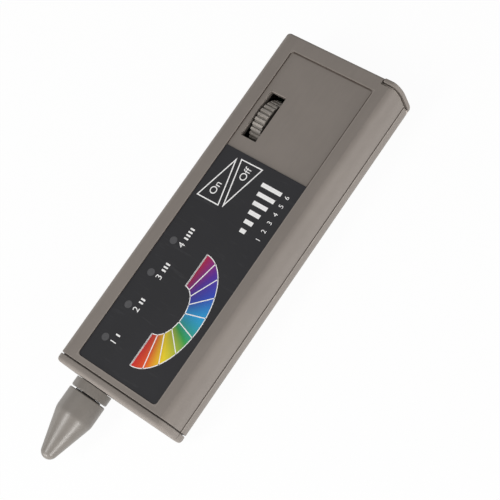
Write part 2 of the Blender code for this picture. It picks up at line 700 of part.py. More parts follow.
def make_top_shell(shop, blank, cutters):
    """Upper half: face recess, wheel slot, light windows, screw posts and the door's overhang."""
    lower_face = PARTING_HEIGHT + GAP / 2
    shell = half_shell(shop, "top_shell", blank, cutters, -OVERRUN, lower_face)
    recess = shop.slab(
        "recess",
        recess_outline(0, RECESS_FRONT_Y, RECESS_REAR_Y, RECESS_CORNER),
        2 * RECESS_DEPTH,
        (0, 0, CASE_HEIGHT),
    )
    boolean(shell, recess)
    wheel_slot = shop.box(
        "wheel slot",
        (WHEEL_CENTRE_X - WHEEL_SLOT_WIDTH / 2, WHEEL_Y - WHEEL_SLOT_LENGTH / 2, ROOF_Z - OVERRUN),
        (WHEEL_CENTRE_X + WHEEL_SLOT_WIDTH / 2, WHEEL_Y + WHEEL_SLOT_LENGTH / 2, CASE_HEIGHT + OVERRUN),
    )
    boolean(shell, wheel_slot)
    for number, place in enumerate(led_places(), 1):
        window = shop.rod(
            f"light window {number}", LED_RADIUS + GAP, at(place, ROOF_Z - OVERRUN), at(place, CASE_HEIGHT)
        )
        boolean(shell, window)
    for side, (low, high) in tongue_spans().items():
        rebate = shop.box(
            f"tongue rebate {side}",
            (low - GAP, CAVITY_FRONT_Y + TONGUE_END_MARGIN - GAP, PARTING_HEIGHT - OVERRUN),
            (high + GAP, SHELL_REAR_Y - TONGUE_END_MARGIN + GAP, PARTING_HEIGHT + TONGUE_HEIGHT + GAP),
        )
        boolean(shell, rebate)
    side = CASE_SIDE_X + OVERRUN
    under_overhang = shop.box(
        "door space under the overhang",
        (-side, SHELL_REAR_Y, 0),
        (side, BODY_REAR_Y + OVERRUN, CASE_HEIGHT - DOOR_OVERHANG),
    )
    beside_overhang = shop.box(
        "door space beside the overhang",
        (DOOR_LIP_START, SHELL_REAR_Y, 0),
        (side, BODY_REAR_Y + OVERRUN, CASE_HEIGHT + OVERRUN),
    )
    boolean(shell, under_overhang)
    boolean(shell, beside_overhang)
    screw_end = CASE_SCREW_SETBACK + CASE_SCREW_HEAD + CASE_SCREW_LENGTH
    for number, place in enumerate(post_places(), 1):
        post = shop.rod(
            f"upper post {number}", POST_RADIUS, at(place, lower_face), at(place, ROOF_Z + FACE_FLOOR / 2)
        )
        boolean(shell, post, "UNION")
        pilot = shop.rod(
            f"upper pilot {number}",
            CASE_SCREW_RADIUS + GAP,
            at(place, PARTING_HEIGHT - OVERRUN),
            at(place, screw_end + GAP),
        )
        boolean(shell, pilot)


def make_bottom_shell(shop, blank, cutters):
    """Lower half: flat back, tongues, screw posts, board standoffs, battery rib and rails."""
    upper_face = PARTING_HEIGHT - GAP / 2
    shell = half_shell(shop, "bottom_shell", blank, cutters, upper_face, CASE_HEIGHT + OVERRUN)
    side = CASE_SIDE_X + OVERRUN
    door_space = shop.box(
        "door space of the bottom shell",
        (-side, SHELL_REAR_Y, -OVERRUN),
        (side, BODY_REAR_Y + OVERRUN, CASE_HEIGHT),
    )
    boolean(shell, door_space)
    for side, (low, high) in tongue_spans().items():
        tongue = shop.box(
            f"tongue {side}",
            (low, CAVITY_FRONT_Y + TONGUE_END_MARGIN, PARTING_HEIGHT - TONGUE_HEIGHT),
            (high, SHELL_REAR_Y - TONGUE_END_MARGIN, PARTING_HEIGHT + TONGUE_HEIGHT),
        )
        boolean(shell, tongue, "UNION")
    bay_rear = BATTERY_REAR_Y - DOOR_RIM_LENGTH
    rib = shop.box(
        "battery rib", (RIB_LEFT_X, BATTERY_FRONT_Y, WALL / 2), (RIB_RIGHT_X, bay_rear, BAY_RIB_HEIGHT)
    )
    boolean(shell, rib, "UNION")
    for name, direction in (("left", -1), ("right", 1)):
        middle = BATTERY_CENTRE_X + direction * BATTERY_WIDTH * RAIL_PLACE_SHARE
        rail = shop.box(
            f"battery rail {name}",
            (middle - RAIL_WIDTH / 2, BATTERY_FRONT_Y, WALL / 2),
            (middle + RAIL_WIDTH / 2, bay_rear, BATTERY_BOTTOM_Z - GAP),
        )
        boolean(shell, rail, "UNION")
    for number, place in enumerate(standoff_places(), 1):
        standoff = shop.rod(
            f"standoff {number}",
            STANDOFF_RADIUS,
            at(place, WALL - POST_SINK),
            at(place, BOARD_UNDERSIDE - GAP),
        )
        boolean(shell, standoff, "UNION")
        pilot = shop.rod(
            f"standoff pilot {number}",
            BOARD_SCREW_RADIUS + GAP,
            at(place, BOARD_UNDERSIDE - BOARD_SCREW_GRIP - GAP),
            at(place, BOARD_UNDERSIDE + OVERRUN),
        )
        boolean(shell, pilot)
    for number, place in enumerate(post_places(), 1):
        post = shop.rod(
            f"lower post {number}", POST_RADIUS, at(place, WALL - POST_SINK), at(place, upper_face)
        )
        boolean(shell, post, "UNION")
        hole = shop.rod(
            f"screw hole {number}",
            CASE_SCREW_RADIUS + GAP,
            at(place, -OVERRUN),
            at(place, PARTING_HEIGHT + OVERRUN),
        )
        boolean(shell, hole)
        counterbore = shop.rod(
            f"screw counterbore {number}",
            CASE_SCREW_HEAD_RADIUS + GAP,
            at(place, -OVERRUN),
            at(place, CASE_SCREW_SETBACK + CASE_SCREW_HEAD + GAP),
        )
        boolean(shell, counterbore)


def make_battery_door(shop):
    """End cap that closes the rear: plate with its shoulder lip, rim and two latches."""
    door = along_case(shop, "battery_door", case_section(), DOOR_FRONT_Y, DOOR_REAR_Y, "case plastic")
    overhang = shop.box(
        "overhang space",
        (-CASE_SIDE_X - OVERRUN, DOOR_FRONT_Y - OVERRUN, CASE_HEIGHT - DOOR_OVERHANG - GAP),
        (DOOR_LIP_START + GAP, DOOR_REAR_Y + OVERRUN, CASE_HEIGHT + OVERRUN),
    )
    boolean(door, overhang)
    bevel(door, DOOR_EDGE, 2)
    rim_inset = WALL + GAP
    rim_front = DOOR_FRONT_Y - DOOR_RIM_LENGTH
    rim = along_case(
        shop,
        "door rim",
        case_section(rim_inset, ROOF_Z - GAP),
        rim_front,
        DOOR_FRONT_Y + DOOR_PLATE / 2,
    )
    hollow = along_case(
        shop,
        "door rim hollow",
        case_section(rim_inset + DOOR_RIM_WALL, ROOF_Z - GAP - DOOR_RIM_WALL),
        rim_front - OVERRUN,
        DOOR_FRONT_Y,
    )
    boolean(rim, hollow)
    boolean(door, rim, "UNION")
    outer = CASE_SIDE_X - rim_inset
    inner = outer - LATCH_THICKNESS
    for name, (left, right) in {"left": (-outer, -inner), "right": (inner, outer)}.items():
        latch = shop.box(
            f"door latch {name}",
            (left, rim_front - LATCH_LENGTH, PARTING_HEIGHT - LATCH_HEIGHT / 2),
            (right, DOOR_FRONT_Y - DOOR_RIM_LENGTH / 2, PARTING_HEIGHT + LATCH_HEIGHT / 2),
        )
        boolean(door, latch, "UNION")


def make_face_label(shop):
    """Thin film in the front two thirds of the recess, square at its rear."""
    front = RECESS_FRONT_Y + ADHESIVE_GAP
    rear = RECESS_REAR_Y - LABEL_REAR_MARGIN
    outline = recess_outline(ADHESIVE_GAP, front, rear, LABEL_REAR_CORNER)
    height = RECESS_FLOOR_Z + ADHESIVE_GAP + LABEL_THICKNESS / 2
    shop.slab("face_label", outline, LABEL_THICKNESS, (0, 0, height), None, "label film")


def ribbed_outline():
    """Outline of the wheel, four points to a rib."""
    points = []
    pitch = FULL_TURN / WHEEL_RIBS
    root = WHEEL_RADIUS - RIB_DEPTH
    crest = pitch * RIB_CREST_SHARE / 2
    foot = pitch * (1 - RIB_ROOT_SHARE) / 2
    for rib in range(WHEEL_RIBS):
        for turn, radius in ((-foot, root), (-crest, WHEEL_RADIUS), (crest, WHEEL_RADIUS), (foot, root)):
            angle = rib * pitch + turn
            points.append((radius * math.cos(angle), radius * math.sin(angle)))
    return points


def make_thumbwheel(shop):
    """Ribbed wheel, dished on both sides, with its shaft and the screw in the shaft's end."""
    centre = (WHEEL_CENTRE_X, WHEEL_Y, WHEEL_Z)
    across = (0, QUARTER_TURN, 0)
    wheel = shop.slab("thumbwheel", ribbed_outline(), WHEEL_WIDTH, centre, across, "wheel plastic")
    dish_profile = (
        (WHEEL_HUB_RADIUS, -WHEEL_DISH_DEPTH),
        (WHEEL_DISH_RADIUS, -WHEEL_DISH_DEPTH),
        (WHEEL_DISH_RADIUS, OVERRUN),
        (WHEEL_HUB_RADIUS, OVERRUN),
    )
    for name, face, sign in (("left", WHEEL_LEFT_X, -1), ("right", WHEEL_RIGHT_X, 1)):
        turn = (0, sign * QUARTER_TURN, 0)
        dish = shop.turned(f"wheel dish {name}", dish_profile, (face, WHEEL_Y, WHEEL_Z), turn, MEDIUM_TURN)
        boolean(wheel, dish)
    bore = shop.rod(
        "wheel bore",
        SHAFT_RADIUS + GAP,
        (WHEEL_LEFT_X - OVERRUN, WHEEL_Y, WHEEL_Z),
        (WHEEL_RIGHT_X + OVERRUN, WHEEL_Y, WHEEL_Z),
    )
    boolean(wheel, bore)
    shaft = shop.rod(
        "wheel_shaft",
        SHAFT_RADIUS,
        (POT_RIGHT_X - SHAFT_IN_POT, WHEEL_Y, WHEEL_Z),
        (WHEEL_RIGHT_X, WHEEL_Y, WHEEL_Z),
        SMALL_TURN,
        "steel",
    )
    tapping = shop.rod(
        "shaft tapping",
        WHEEL_SCREW_RADIUS + GAP,
        (WHEEL_RIGHT_X - WHEEL_SCREW_DEPTH, WHEEL_Y, WHEEL_Z),
        (WHEEL_RIGHT_X + OVERRUN, WHEEL_Y, WHEEL_Z),
    )
    boolean(shaft, tapping)
    screw_profile = (
        (0, -WHEEL_SCREW_DEPTH),
        (WHEEL_SCREW_RADIUS, -WHEEL_SCREW_DEPTH),
        (WHEEL_SCREW_RADIUS, 0),
        (WHEEL_SCREW_HEAD_RADIUS, 0),
        (WHEEL_SCREW_HEAD_RADIUS, WHEEL_SCREW_HEAD / 2),
        (WHEEL_SCREW_HEAD_RADIUS - WHEEL_SCREW_HEAD / 2, WHEEL_SCREW_HEAD),
        (0, WHEEL_SCREW_HEAD),
    )
    seat = (WHEEL_RIGHT_X + GAP, WHEEL_Y, WHEEL_Z)
    shop.turned("wheel_screw", screw_profile, seat, across, SMALL_TURN, "steel")


def make_potentiometer(shop):
    """Disc-shaped potentiometer with its switch, standing on the board beside the wheel."""
    body = shop.rod(
        "potentiometer",
        POT_RADIUS,
        (POT_LEFT_X, WHEEL_Y, WHEEL_Z),
        (POT_RIGHT_X, WHEEL_Y, WHEEL_Z),
        MEDIUM_TURN,
        "black plastic",
    )
    middle = (POT_LEFT_X + POT_RIGHT_X) / 2
    base_half = POT_THICKNESS * POT_BASE_SHARE / 2
    base = shop.box(
        "potentiometer base",
        (middle - base_half, WHEEL_Y - POT_BASE_WIDTH / 2, BOARD_SEAT_Z),
        (middle + base_half, WHEEL_Y + POT_BASE_WIDTH / 2, WHEEL_Z),
    )
    boolean(body, base, "UNION")
    bore = shop.rod(
        "potentiometer bore",
        SHAFT_RADIUS + GAP,
        (POT_RIGHT_X - SHAFT_IN_POT - GAP, WHEEL_Y, WHEEL_Z),
        (POT_RIGHT_X + OVERRUN, WHEEL_Y, WHEEL_Z),
    )
    boolean(body, bore)


def board_outline():
    """The board: a wide front part, and an arm to the rear on its left."""
    arm_root = BOARD_REAR_Y - BOARD_ARM_ROOT
    arm_end = WHEEL_Y + BOARD_ARM_REACH
    return (
        (BOARD_LEFT_X, BOARD_FRONT_Y),
        (BOARD_RIGHT_X, BOARD_FRONT_Y),
        (BOARD_RIGHT_X, BOARD_REAR_Y),
        (ARM_RIGHT_X, BOARD_REAR_Y),
        (ARM_RIGHT_X, arm_end),
        (ARM_LEFT_X, arm_end),
        (ARM_LEFT_X, arm_root),
        (BOARD_LEFT_X, arm_root),
    )


def make_board(shop):
    """Circuit board, notched for the wheel, and the screws that hold it down."""
    height = BOARD_UNDERSIDE + BOARD_THICKNESS / 2
    board = shop.slab("main_board", board_outline(), BOARD_THICKNESS, (0, 0, height), None, "board")
    low, high = BOARD_UNDERSIDE - OVERRUN, BOARD_TOP_Z + OVERRUN
    reach = WHEEL_RADIUS + BOARD_WHEEL_CLEARANCE
    notch = shop.box(
        "wheel notch",
        (WHEEL_LEFT_X - BOARD_WHEEL_CLEARANCE, WHEEL_Y - reach, low),
        (ARM_RIGHT_X + OVERRUN, WHEEL_Y + reach, high),
    )
    boolean(board, notch)
    shank_end = -BOARD_THICKNESS - GAP - BOARD_SCREW_GRIP
    profile = (
        (0, shank_end),
        (BOARD_SCREW_RADIUS, shank_end),
        (BOARD_SCREW_RADIUS, 0),
        (BOARD_SCREW_HEAD_RADIUS, 0),
        (BOARD_SCREW_HEAD_RADIUS, BOARD_SCREW_HEAD / 2),
        (BOARD_SCREW_HEAD_RADIUS - BOARD_SCREW_HEAD / 2, BOARD_SCREW_HEAD),
        (0, BOARD_SCREW_HEAD),
    )
    for number, place in enumerate(standoff_places(), 1):
        hole = shop.rod(f"board hole {number}", BOARD_SCREW_RADIUS + GAP, at(place, low), at(place, high))
        boolean(board, hole)
        shop.turned(f"board_screw_{number}", profile, at(place, BOARD_SEAT_Z), finish="steel")


def make_lights(shop):
    """Round indicator lights on two legs, each light on its own spacer."""
    dome = []
    for step in range(LED_DOME_STEPS):
        angle = QUARTER_TURN * step / LED_DOME_STEPS
        height = LED_HEIGHT - LED_RADIUS + LED_RADIUS * math.sin(angle)
        dome.append((LED_RADIUS * math.cos(angle), height))
    profile = [
        (0, 0),
        (LED_RIM_RADIUS, 0),
        (LED_RIM_RADIUS, LED_RIM_HEIGHT),
        (LED_RADIUS, LED_RIM_HEIGHT),
        *dome,
        (0, LED_HEIGHT),
    ]
    for number, place in enumerate(led_places(), 1):
        light = shop.turned(f"led_{number}", profile, at(place, LED_BASE_Z), finish="led lens")
        spacer = shop.rod(
            f"led_spacer_{number}",
            SPACER_RADIUS,
            at(place, BOARD_SEAT_Z),
            at(place, LED_BASE_Z - GAP),
            SMALL_TURN,
            "nylon",
        )
        for name, direction in (("front", -1), ("rear", 1)):
            leg_place = (place[0], place[1] + direction * LED_LEG_PITCH / 2)
            leg = shop.rod(
                f"led leg {name} {number}",
                LED_LEG_RADIUS,
                at(leg_place, BOARD_SEAT_Z),
                at(leg_place, LED_BASE_Z + LED_RIM_HEIGHT / 2),
                TINY_TURN,
            )
            boolean(light, leg, "UNION")
            bore = shop.rod(
                f"spacer bore {name} {number}",
                LED_LEG_RADIUS + GAP,
                at(leg_place, BOARD_TOP_Z - OVERRUN),
                at(leg_place, LED_BASE_Z + OVERRUN),
                TINY_TURN,
            )
            boolean(spacer, bore)


def make_chip(shop, name, place, size):
    """A flat moulded chip, standing just off the board."""
    middle = at(place, BOARD_SEAT_Z)
    half = Vector((size[0] / 2, size[1] / 2, 0))
    body = shop.box(name, middle - half, middle + half + Vector((0, 0, size[2])), "black plastic")
    bevel(body, CHIP_EDGE, 1)


def make_board_parts(shop):
    """Buzzer, capacitors, regulator and chips on the board."""
    buzzer_place = board_place(BUZZER_PLACE_SHARES)
    buzzer_top = BOARD_SEAT_Z + BUZZER_HEIGHT
    buzzer = shop.rod(
        "buzzer",
        BUZZER_RADIUS,
        at(buzzer_place, BOARD_SEAT_Z),
        at(buzzer_place, buzzer_top),
        MEDIUM_TURN,
        "black plastic",
    )
    sound_hole = shop.rod(
        "sound hole",
        BUZZER_HOLE_RADIUS,
        at(buzzer_place, buzzer_top - BUZZER_HOLE_DEPTH),
        at(buzzer_place, buzzer_top + OVERRUN),
    )
    boolean(buzzer, sound_hole)
    waist = CAPACITOR_RADIUS - CAPACITOR_CRIMP
    crimp_z = CAPACITOR_BASE + CAPACITOR_CRIMP
    can_profile = (
        (0, 0),
        (CAPACITOR_RADIUS, 0),
        (CAPACITOR_RADIUS, CAPACITOR_BASE),
        (waist, crimp_z),
        (CAPACITOR_RADIUS, crimp_z + CAPACITOR_CRIMP),
        (CAPACITOR_RADIUS, CAPACITOR_HEIGHT - CAPACITOR_CRIMP),
        (waist, CAPACITOR_HEIGHT),
        (0, CAPACITOR_HEIGHT),
    )
    for number, shares in enumerate(CAPACITOR_PLACE_SHARES, 1):
        seat = at(board_place(shares), BOARD_SEAT_Z)
        shop.turned(f"capacitor_{number}", can_profile, seat, finish="black insulation")
    regulator_place = board_place(REGULATOR_PLACE_SHARES)
    clear_start = buzzer_place[1] + BUZZER_RADIUS
    clear_length = regulator_place[1] - REGULATOR_RADIUS - clear_start - CONTROLLER_SIDE
    controller_place = (
        BOARD_LEFT_X + (BOARD_RIGHT_X - BOARD_LEFT_X) * CONTROLLER_ACROSS_SHARE,
        clear_start + clear_length * CONTROLLER_CLEARANCE_SHARE + CONTROLLER_SIDE / 2,
    )
    controller_size = (CONTROLLER_SIDE, CONTROLLER_SIDE, CONTROLLER_HEIGHT)
    make_chip(shop, "controller_chip", controller_place, controller_size)
    amplifier_size = (AMPLIFIER_WIDTH, AMPLIFIER_LENGTH, AMPLIFIER_HEIGHT)
    make_chip(shop, "amplifier_chip", board_place(AMPLIFIER_PLACE_SHARES), amplifier_size)
    regulator = shop.rod(
        "voltage_regulator",
        REGULATOR_RADIUS,
        at(regulator_place, BOARD_SEAT_Z),
        at(regulator_place, BOARD_SEAT_Z + REGULATOR_HEIGHT),
        SMALL_TURN,
        "black plastic",
    )
    reach = REGULATOR_RADIUS + OVERRUN
    flat = shop.box(
        "regulator flat",
        (regulator_place[0] + REGULATOR_FLAT, regulator_place[1] - reach, BOARD_SEAT_Z - OVERRUN),
        (regulator_place[0] + reach, regulator_place[1] + reach, BOARD_SEAT_Z + REGULATOR_HEIGHT + OVERRUN),
    )
    boolean(regulator, flat)


def make_battery(shop):
    """Nine volt battery with its two terminals, the snap on them and the pad behind it."""
    forward = (QUARTER_TURN, 0, 0)
    half_width, half_height = BATTERY_WIDTH / 2, BATTERY_THICKNESS / 2
    outline = rounded_rectangle(
        (-half_width, -half_height), (half_width, half_height), BATTERY_CORNER, BATTERY_CORNER
    )
    middle = (BATTERY_CENTRE_X, (BATTERY_FRONT_Y + BATTERY_REAR_Y) / 2, BATTERY_CENTRE_Z)
    shop.slab("battery", outline, BATTERY_LENGTH, middle, forward, "battery jacket")
    stud_profile = (
        (0, 0),
        (STUD_RADIUS, 0),
        (STUD_NECK_RADIUS, STUD_HEIGHT / 3),
        (STUD_RADIUS, STUD_HEIGHT * 2 / 3),
        (STUD_NECK_RADIUS, STUD_HEIGHT),
        (0, STUD_HEIGHT),
    )
    bore_floor = STUD_HEIGHT - CROWN_BORE_DEPTH
    crown_profile = (
        (0, 0),
        (CROWN_RADIUS, 0),
        (CROWN_RADIUS, STUD_HEIGHT),
        (CROWN_BORE_RADIUS, STUD_HEIGHT),
        (CROWN_BORE_RADIUS, bore_floor),
        (0, bore_floor),
    )
    snap = shop.box(
        "battery_snap",
        (BATTERY_CENTRE_X - SNAP_WIDTH / 2, SNAP_FRONT_Y, BATTERY_CENTRE_Z - SNAP_THICKNESS / 2),
        (BATTERY_CENTRE_X + SNAP_WIDTH / 2, SNAP_REAR_Y, BATTERY_CENTRE_Z + SNAP_THICKNESS / 2),
        "black plastic",
    )
    bevel(snap, SNAP_EDGE, 2)
    for name, direction, radius, profile in (
        ("battery_stud", -1, STUD_RADIUS, stud_profile),
        ("battery_crown", 1, CROWN_RADIUS, crown_profile),
    ):
        across = BATTERY_CENTRE_X + direction * STUD_PITCH / 2
        seat = (across, BATTERY_FRONT_Y - GAP, BATTERY_CENTRE_Z)
        shop.turned(name, profile, seat, forward, SMALL_TURN, "steel")
        pocket = shop.rod(
            f"pocket of {name}",
            radius + GAP,
            (across, seat[1] - STUD_HEIGHT - GAP, BATTERY_CENTRE_Z),
            (across, BATTERY_FRONT_Y, BATTERY_CENTRE_Z),
        )
        boolean(snap, pocket)
    shop.box(
        "battery_pad",
        (BATTERY_CENTRE_X - PAD_WIDTH / 2, PAD_REAR_Y - PAD_THICKNESS, BATTERY_CENTRE_Z - PAD_HEIGHT / 2),
        (BATTERY_CENTRE_X + PAD_WIDTH / 2, PAD_REAR_Y, BATTERY_CENTRE_Z + PAD_HEIGHT / 2),
        "foam",
    )


def make_case_screws(shop):
    """Screws that hold the two shells together, put in from the back."""
    shank_end = CASE_SCREW_HEAD + CASE_SCREW_LENGTH
    profile = (
        (0, CASE_SCREW_SOCKET_DEPTH),
        (CASE_SCREW_SOCKET_RADIUS, CASE_SCREW_SOCKET_DEPTH),
        (CASE_SCREW_SOCKET_RADIUS, 0),
        (CASE_SCREW_HEAD_RADIUS, 0),
        (CASE_SCREW_HEAD_RADIUS, CASE_SCREW_HEAD),
        (CASE_SCREW_RADIUS, CASE_SCREW_HEAD),
        (CASE_SCREW_RADIUS, shank_end - CASE_SCREW_RADIUS),
        (0, shank_end),
    )
    for number, place in enumerate(post_places(), 1):
        shop.turned(f"case_screw_{number}", profile, at(place, CASE_SCREW_SETBACK), finish="steel")


def probe_point(station):
    """A point on the probe's axis, at a station along Y."""
    return (PROBE_X, station, PROBE_Z)


def cap_profile():
    """Profile of the cap from its mouth: straight, tapered, round at the nose, and hollow."""
    slope = math.tan(CAP_TAPER)

    def cone_radius(height):
        return CAP_RADIUS - slope * (height - CAP_STRAIGHT)

    blend_start = CAP_STRAIGHT - CAP_SHOULDER_RADIUS * math.tan(CAP_TAPER / 2)
    points = [(CAP_RADIUS - CAP_MOUTH_EDGE, 0), (CAP_RADIUS, CAP_MOUTH_EDGE)]
    for step in range(CORNER_STEPS + 1):
        angle = CAP_TAPER * step / CORNER_STEPS
        radius = CAP_RADIUS - CAP_SHOULDER_RADIUS * (1 - math.cos(angle))
        points.append((radius, blend_start + CAP_SHOULDER_RADIUS * math.sin(angle)))
    for step in range(ARC_STEPS):
        angle = CAP_TAPER + (QUARTER_TURN - CAP_TAPER) * step / ARC_STEPS
        height = CAP_LENGTH - CAP_NOSE_RADIUS * (1 - math.sin(angle))
        points.append((CAP_NOSE_RADIUS * math.cos(angle), height))
    points.append((0, CAP_LENGTH))
    bore = SLEEVE_RADIUS + GAP
    bore_end = SLEEVE_STRAIGHT - CAP_GAP
    hollow_end = CAP_LENGTH - CAP_TIP_WALL
    hollow_radius = cone_radius(hollow_end) - CAP_WALL
    points += [(0, hollow_end), (hollow_radius, hollow_end), (bore, bore_end), (bore, 0)]
    return points


def make_probe_cap(shop):
    """Pull-off cap over the probe, turned as one hollow piece."""
    points = cap_profile()
    nose = next(index for index, point in enumerate(points) if point[0] == 0)
    rolled = points[nose + 1 :] + points[: nose + 1]
    forward = (QUARTER_TURN, 0, 0)
    shop.turned("probe_cap", rolled, probe_point(CAP_MOUTH_Y), forward, FINE_TURN, "cap plastic")


def make_probe(shop):
    """Collar, sleeve, sprung tip, spring, heater and plug on one axis; returns the plug's rear."""
    forward = (QUARTER_TURN, 0, 0)
    origin = probe_point(COLLAR_FRONT_Y)
    face = FLANGE_FRONT_Y - GAP - COLLAR_FRONT_Y
    retainer_front = CAVITY_FRONT_Y + GAP - COLLAR_FRONT_Y
    retainer_rear = retainer_front + COLLAR_RETAINER
    bore = SLEEVE_TAIL_RADIUS + GAP
    collar = (
        (bore, 0),
        (COLLAR_RADIUS - COLLAR_EDGE, 0),
        (COLLAR_RADIUS, -COLLAR_EDGE),
        (COLLAR_RADIUS, -face),
        (COLLAR_SHANK_RADIUS, -face),
        (COLLAR_SHANK_RADIUS, -retainer_front),
        (COLLAR_RETAINER_RADIUS, -retainer_front),
        (COLLAR_RETAINER_RADIUS, -retainer_rear),
        (bore, -retainer_rear),
    )
    shop.turned("probe_collar", collar, origin, forward, FINE_TURN, "collar plastic")
    tail = retainer_rear + SLEEVE_TAIL_REACH
    nose = SLEEVE_STRAIGHT + SLEEVE_CONE
    chamber_end = nose - SLEEVE_NOSE_WALL
    sleeve = (
        (TIP_RADIUS + GAP, nose),
        (SLEEVE_TIP_RADIUS, nose),
        (SLEEVE_RADIUS, SLEEVE_STRAIGHT),
        (SLEEVE_RADIUS, ADHESIVE_GAP),
        (SLEEVE_TAIL_RADIUS, ADHESIVE_GAP),
        (SLEEVE_TAIL_RADIUS, -tail),
        (SLEEVE_CHAMBER_RADIUS, -tail),
        (SLEEVE_CHAMBER_RADIUS, chamber_end),
        (TIP_RADIUS + GAP, chamber_end),
    )
    shop.turned("probe_sleeve", sleeve, origin, forward, MEDIUM_TURN, "black plastic")
    head_front = chamber_end - GAP
    head_rear = head_front - TIP_HEAD
    point = nose + TIP_REACH
    tip = (
        (0, point),
        (TIP_POINT_RADIUS, point),
        (TIP_RADIUS, point - TIP_POINT),
        (TIP_RADIUS, head_front),
        (TIP_HEAD_RADIUS, head_front),
        (TIP_HEAD_RADIUS, head_rear),
        (TIP_RADIUS, head_rear),
        (TIP_RADIUS, head_rear - TIP_GUIDE),
        (0, head_rear - TIP_GUIDE),
    )
    shop.turned("probe_tip", tip, origin, forward, SMALL_TURN, "copper")
    coil_front = head_rear - GAP - SPRING_WIRE_RADIUS
    coil_rear = HEATER_REACH + GAP + SPRING_WIRE_RADIUS
    make_spring(shop, COLLAR_FRONT_Y - coil_front, COLLAR_FRONT_Y - coil_rear)
    heater_rear = HEATER_REACH - HEATER_LENGTH
    shop.rod(
        "probe_heater",
        HEATER_RADIUS,
        probe_point(COLLAR_FRONT_Y - heater_rear),
        probe_point(COLLAR_FRONT_Y - HEATER_REACH),
        SMALL_TURN,
        "ceramic",
    )
    head = -tail - GAP
    plug = (
        (0, heater_rear - GAP),
        (HEATER_RADIUS, heater_rear - GAP),
        (HEATER_RADIUS, head),
        (SLEEVE_TAIL_RADIUS, head),
        (SLEEVE_TAIL_RADIUS, head - PLUG_HEAD),
        (0, head - PLUG_HEAD),
    )
    shop.turned("probe_plug", plug, origin, forward, SMALL_TURN, "nylon")
    return COLLAR_FRONT_Y - head + PLUG_HEAD


def make_spring(shop, front, rear):
    """Coil spring behind the tip's head, one unbroken wire."""
    points = []
    steps = SPRING_TURNS * SPRING_POINTS
    for step in range(steps + 1):
        angle = FULL_TURN * step / SPRING_POINTS
        points.append(
            (
                PROBE_X + SPRING_RADIUS * math.cos(angle),
                front + (rear - front) * step / steps,
                PROBE_Z + SPRING_RADIUS * math.sin(angle),
            )
        )
    pitch = (Vector(points[SPRING_POINTS]) - Vector(points[0])).length
    print(f"least gap between the spring's turns: {(pitch - 2 * SPRING_WIRE_RADIUS) * 1000:.2f} mm")
    shop.tube("probe_spring", points, SPRING_WIRE_RADIUS, "steel")


def smooth_route(points):
    """A smooth curve through the given points, as a list of places."""
    ends = [2 * points[0] - points[1], *points, 2 * points[-1] - points[-2]]
    route = []
    for before, start, end, after in zip(ends, ends[1:], ends[2:], ends[3:]):
        for step in range(LEAD_STEPS):
            part = step / LEAD_STEPS
            bend = 2 * before - 5 * start + 4 * end - after
            twist = 3 * start - before - 3 * end + after
            route.append((2 * start + (end - before) * part + bend * part**2 + twist * part**3) / 2)
    route.append(points[-1])
    return route


def make_lead(shop, name, start, run, finish):
    """A lead from a point, over the floor plan by a run, and down to the board."""
    drop = Vector((0, 0, BOARD_SEAT_Z - start[2]))
    points = [Vector(start) + run * across + drop * down for across, down in LEAD_PATH_SHARES]
    shop.tube(name, smooth_route(points), LEAD_RADIUS, finish)


def make_leads(shop, plug_rear):
    """Two leads from the probe's plug and two from the battery snap, all down to the board."""
    for number, direction, finish in ((1, -1, "red insulation"), (2, 1, "black insulation")):
        probe_start = (PROBE_X + direction * PROBE_LEAD_SPACING / 2, plug_rear + GAP, PROBE_Z)
        probe_run = Vector((PROBE_LEAD_SHIFT, PROBE_LEAD_REACH, 0))
        make_lead(shop, f"probe_lead_{number}", probe_start, probe_run, finish)
        snap_start = (direction * BATTERY_LEAD_SPACING / 2, SNAP_FRONT_Y - GAP, BATTERY_CENTRE_Z)
        snap_run = Vector((0, -BATTERY_LEAD_REACH, 0))
        make_lead(shop, f"battery_lead_{number}", snap_start, snap_run, finish)


def main():
    """Builds every piece of the tester."""
    clear_scene()
    shop = Workshop()
    blank = case_blank(shop)
    cutters = shell_cutters(shop)
    make_top_shell(shop, blank, cutters)
    make_bottom_shell(shop, blank, cutters)
    make_battery_door(shop)
    make_face_label(shop)
    make_thumbwheel(shop)
    make_potentiometer(shop)
    make_board(shop)
    make_lights(shop)
    make_board_parts(shop)
    make_battery(shop)
    make_case_screws(shop)
    plug_rear = make_probe(shop)
    make_probe_cap(shop)
    make_leads(shop, plug_rear)


main()
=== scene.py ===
"""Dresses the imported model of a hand-held gem tester and sets it before the camera.

The tester lies on its back: a moulded case in two halves with a printed face label, a
ribbed thumbwheel, a capped probe and a battery door, and its works inside.
All sizes are in metres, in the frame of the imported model.
"""

import json
import logging
import math
from collections.abc import Callable
from dataclasses import dataclass
from enum import Enum
from typing import ClassVar

import bmesh
import bpy
from mathutils import Matrix, Vector


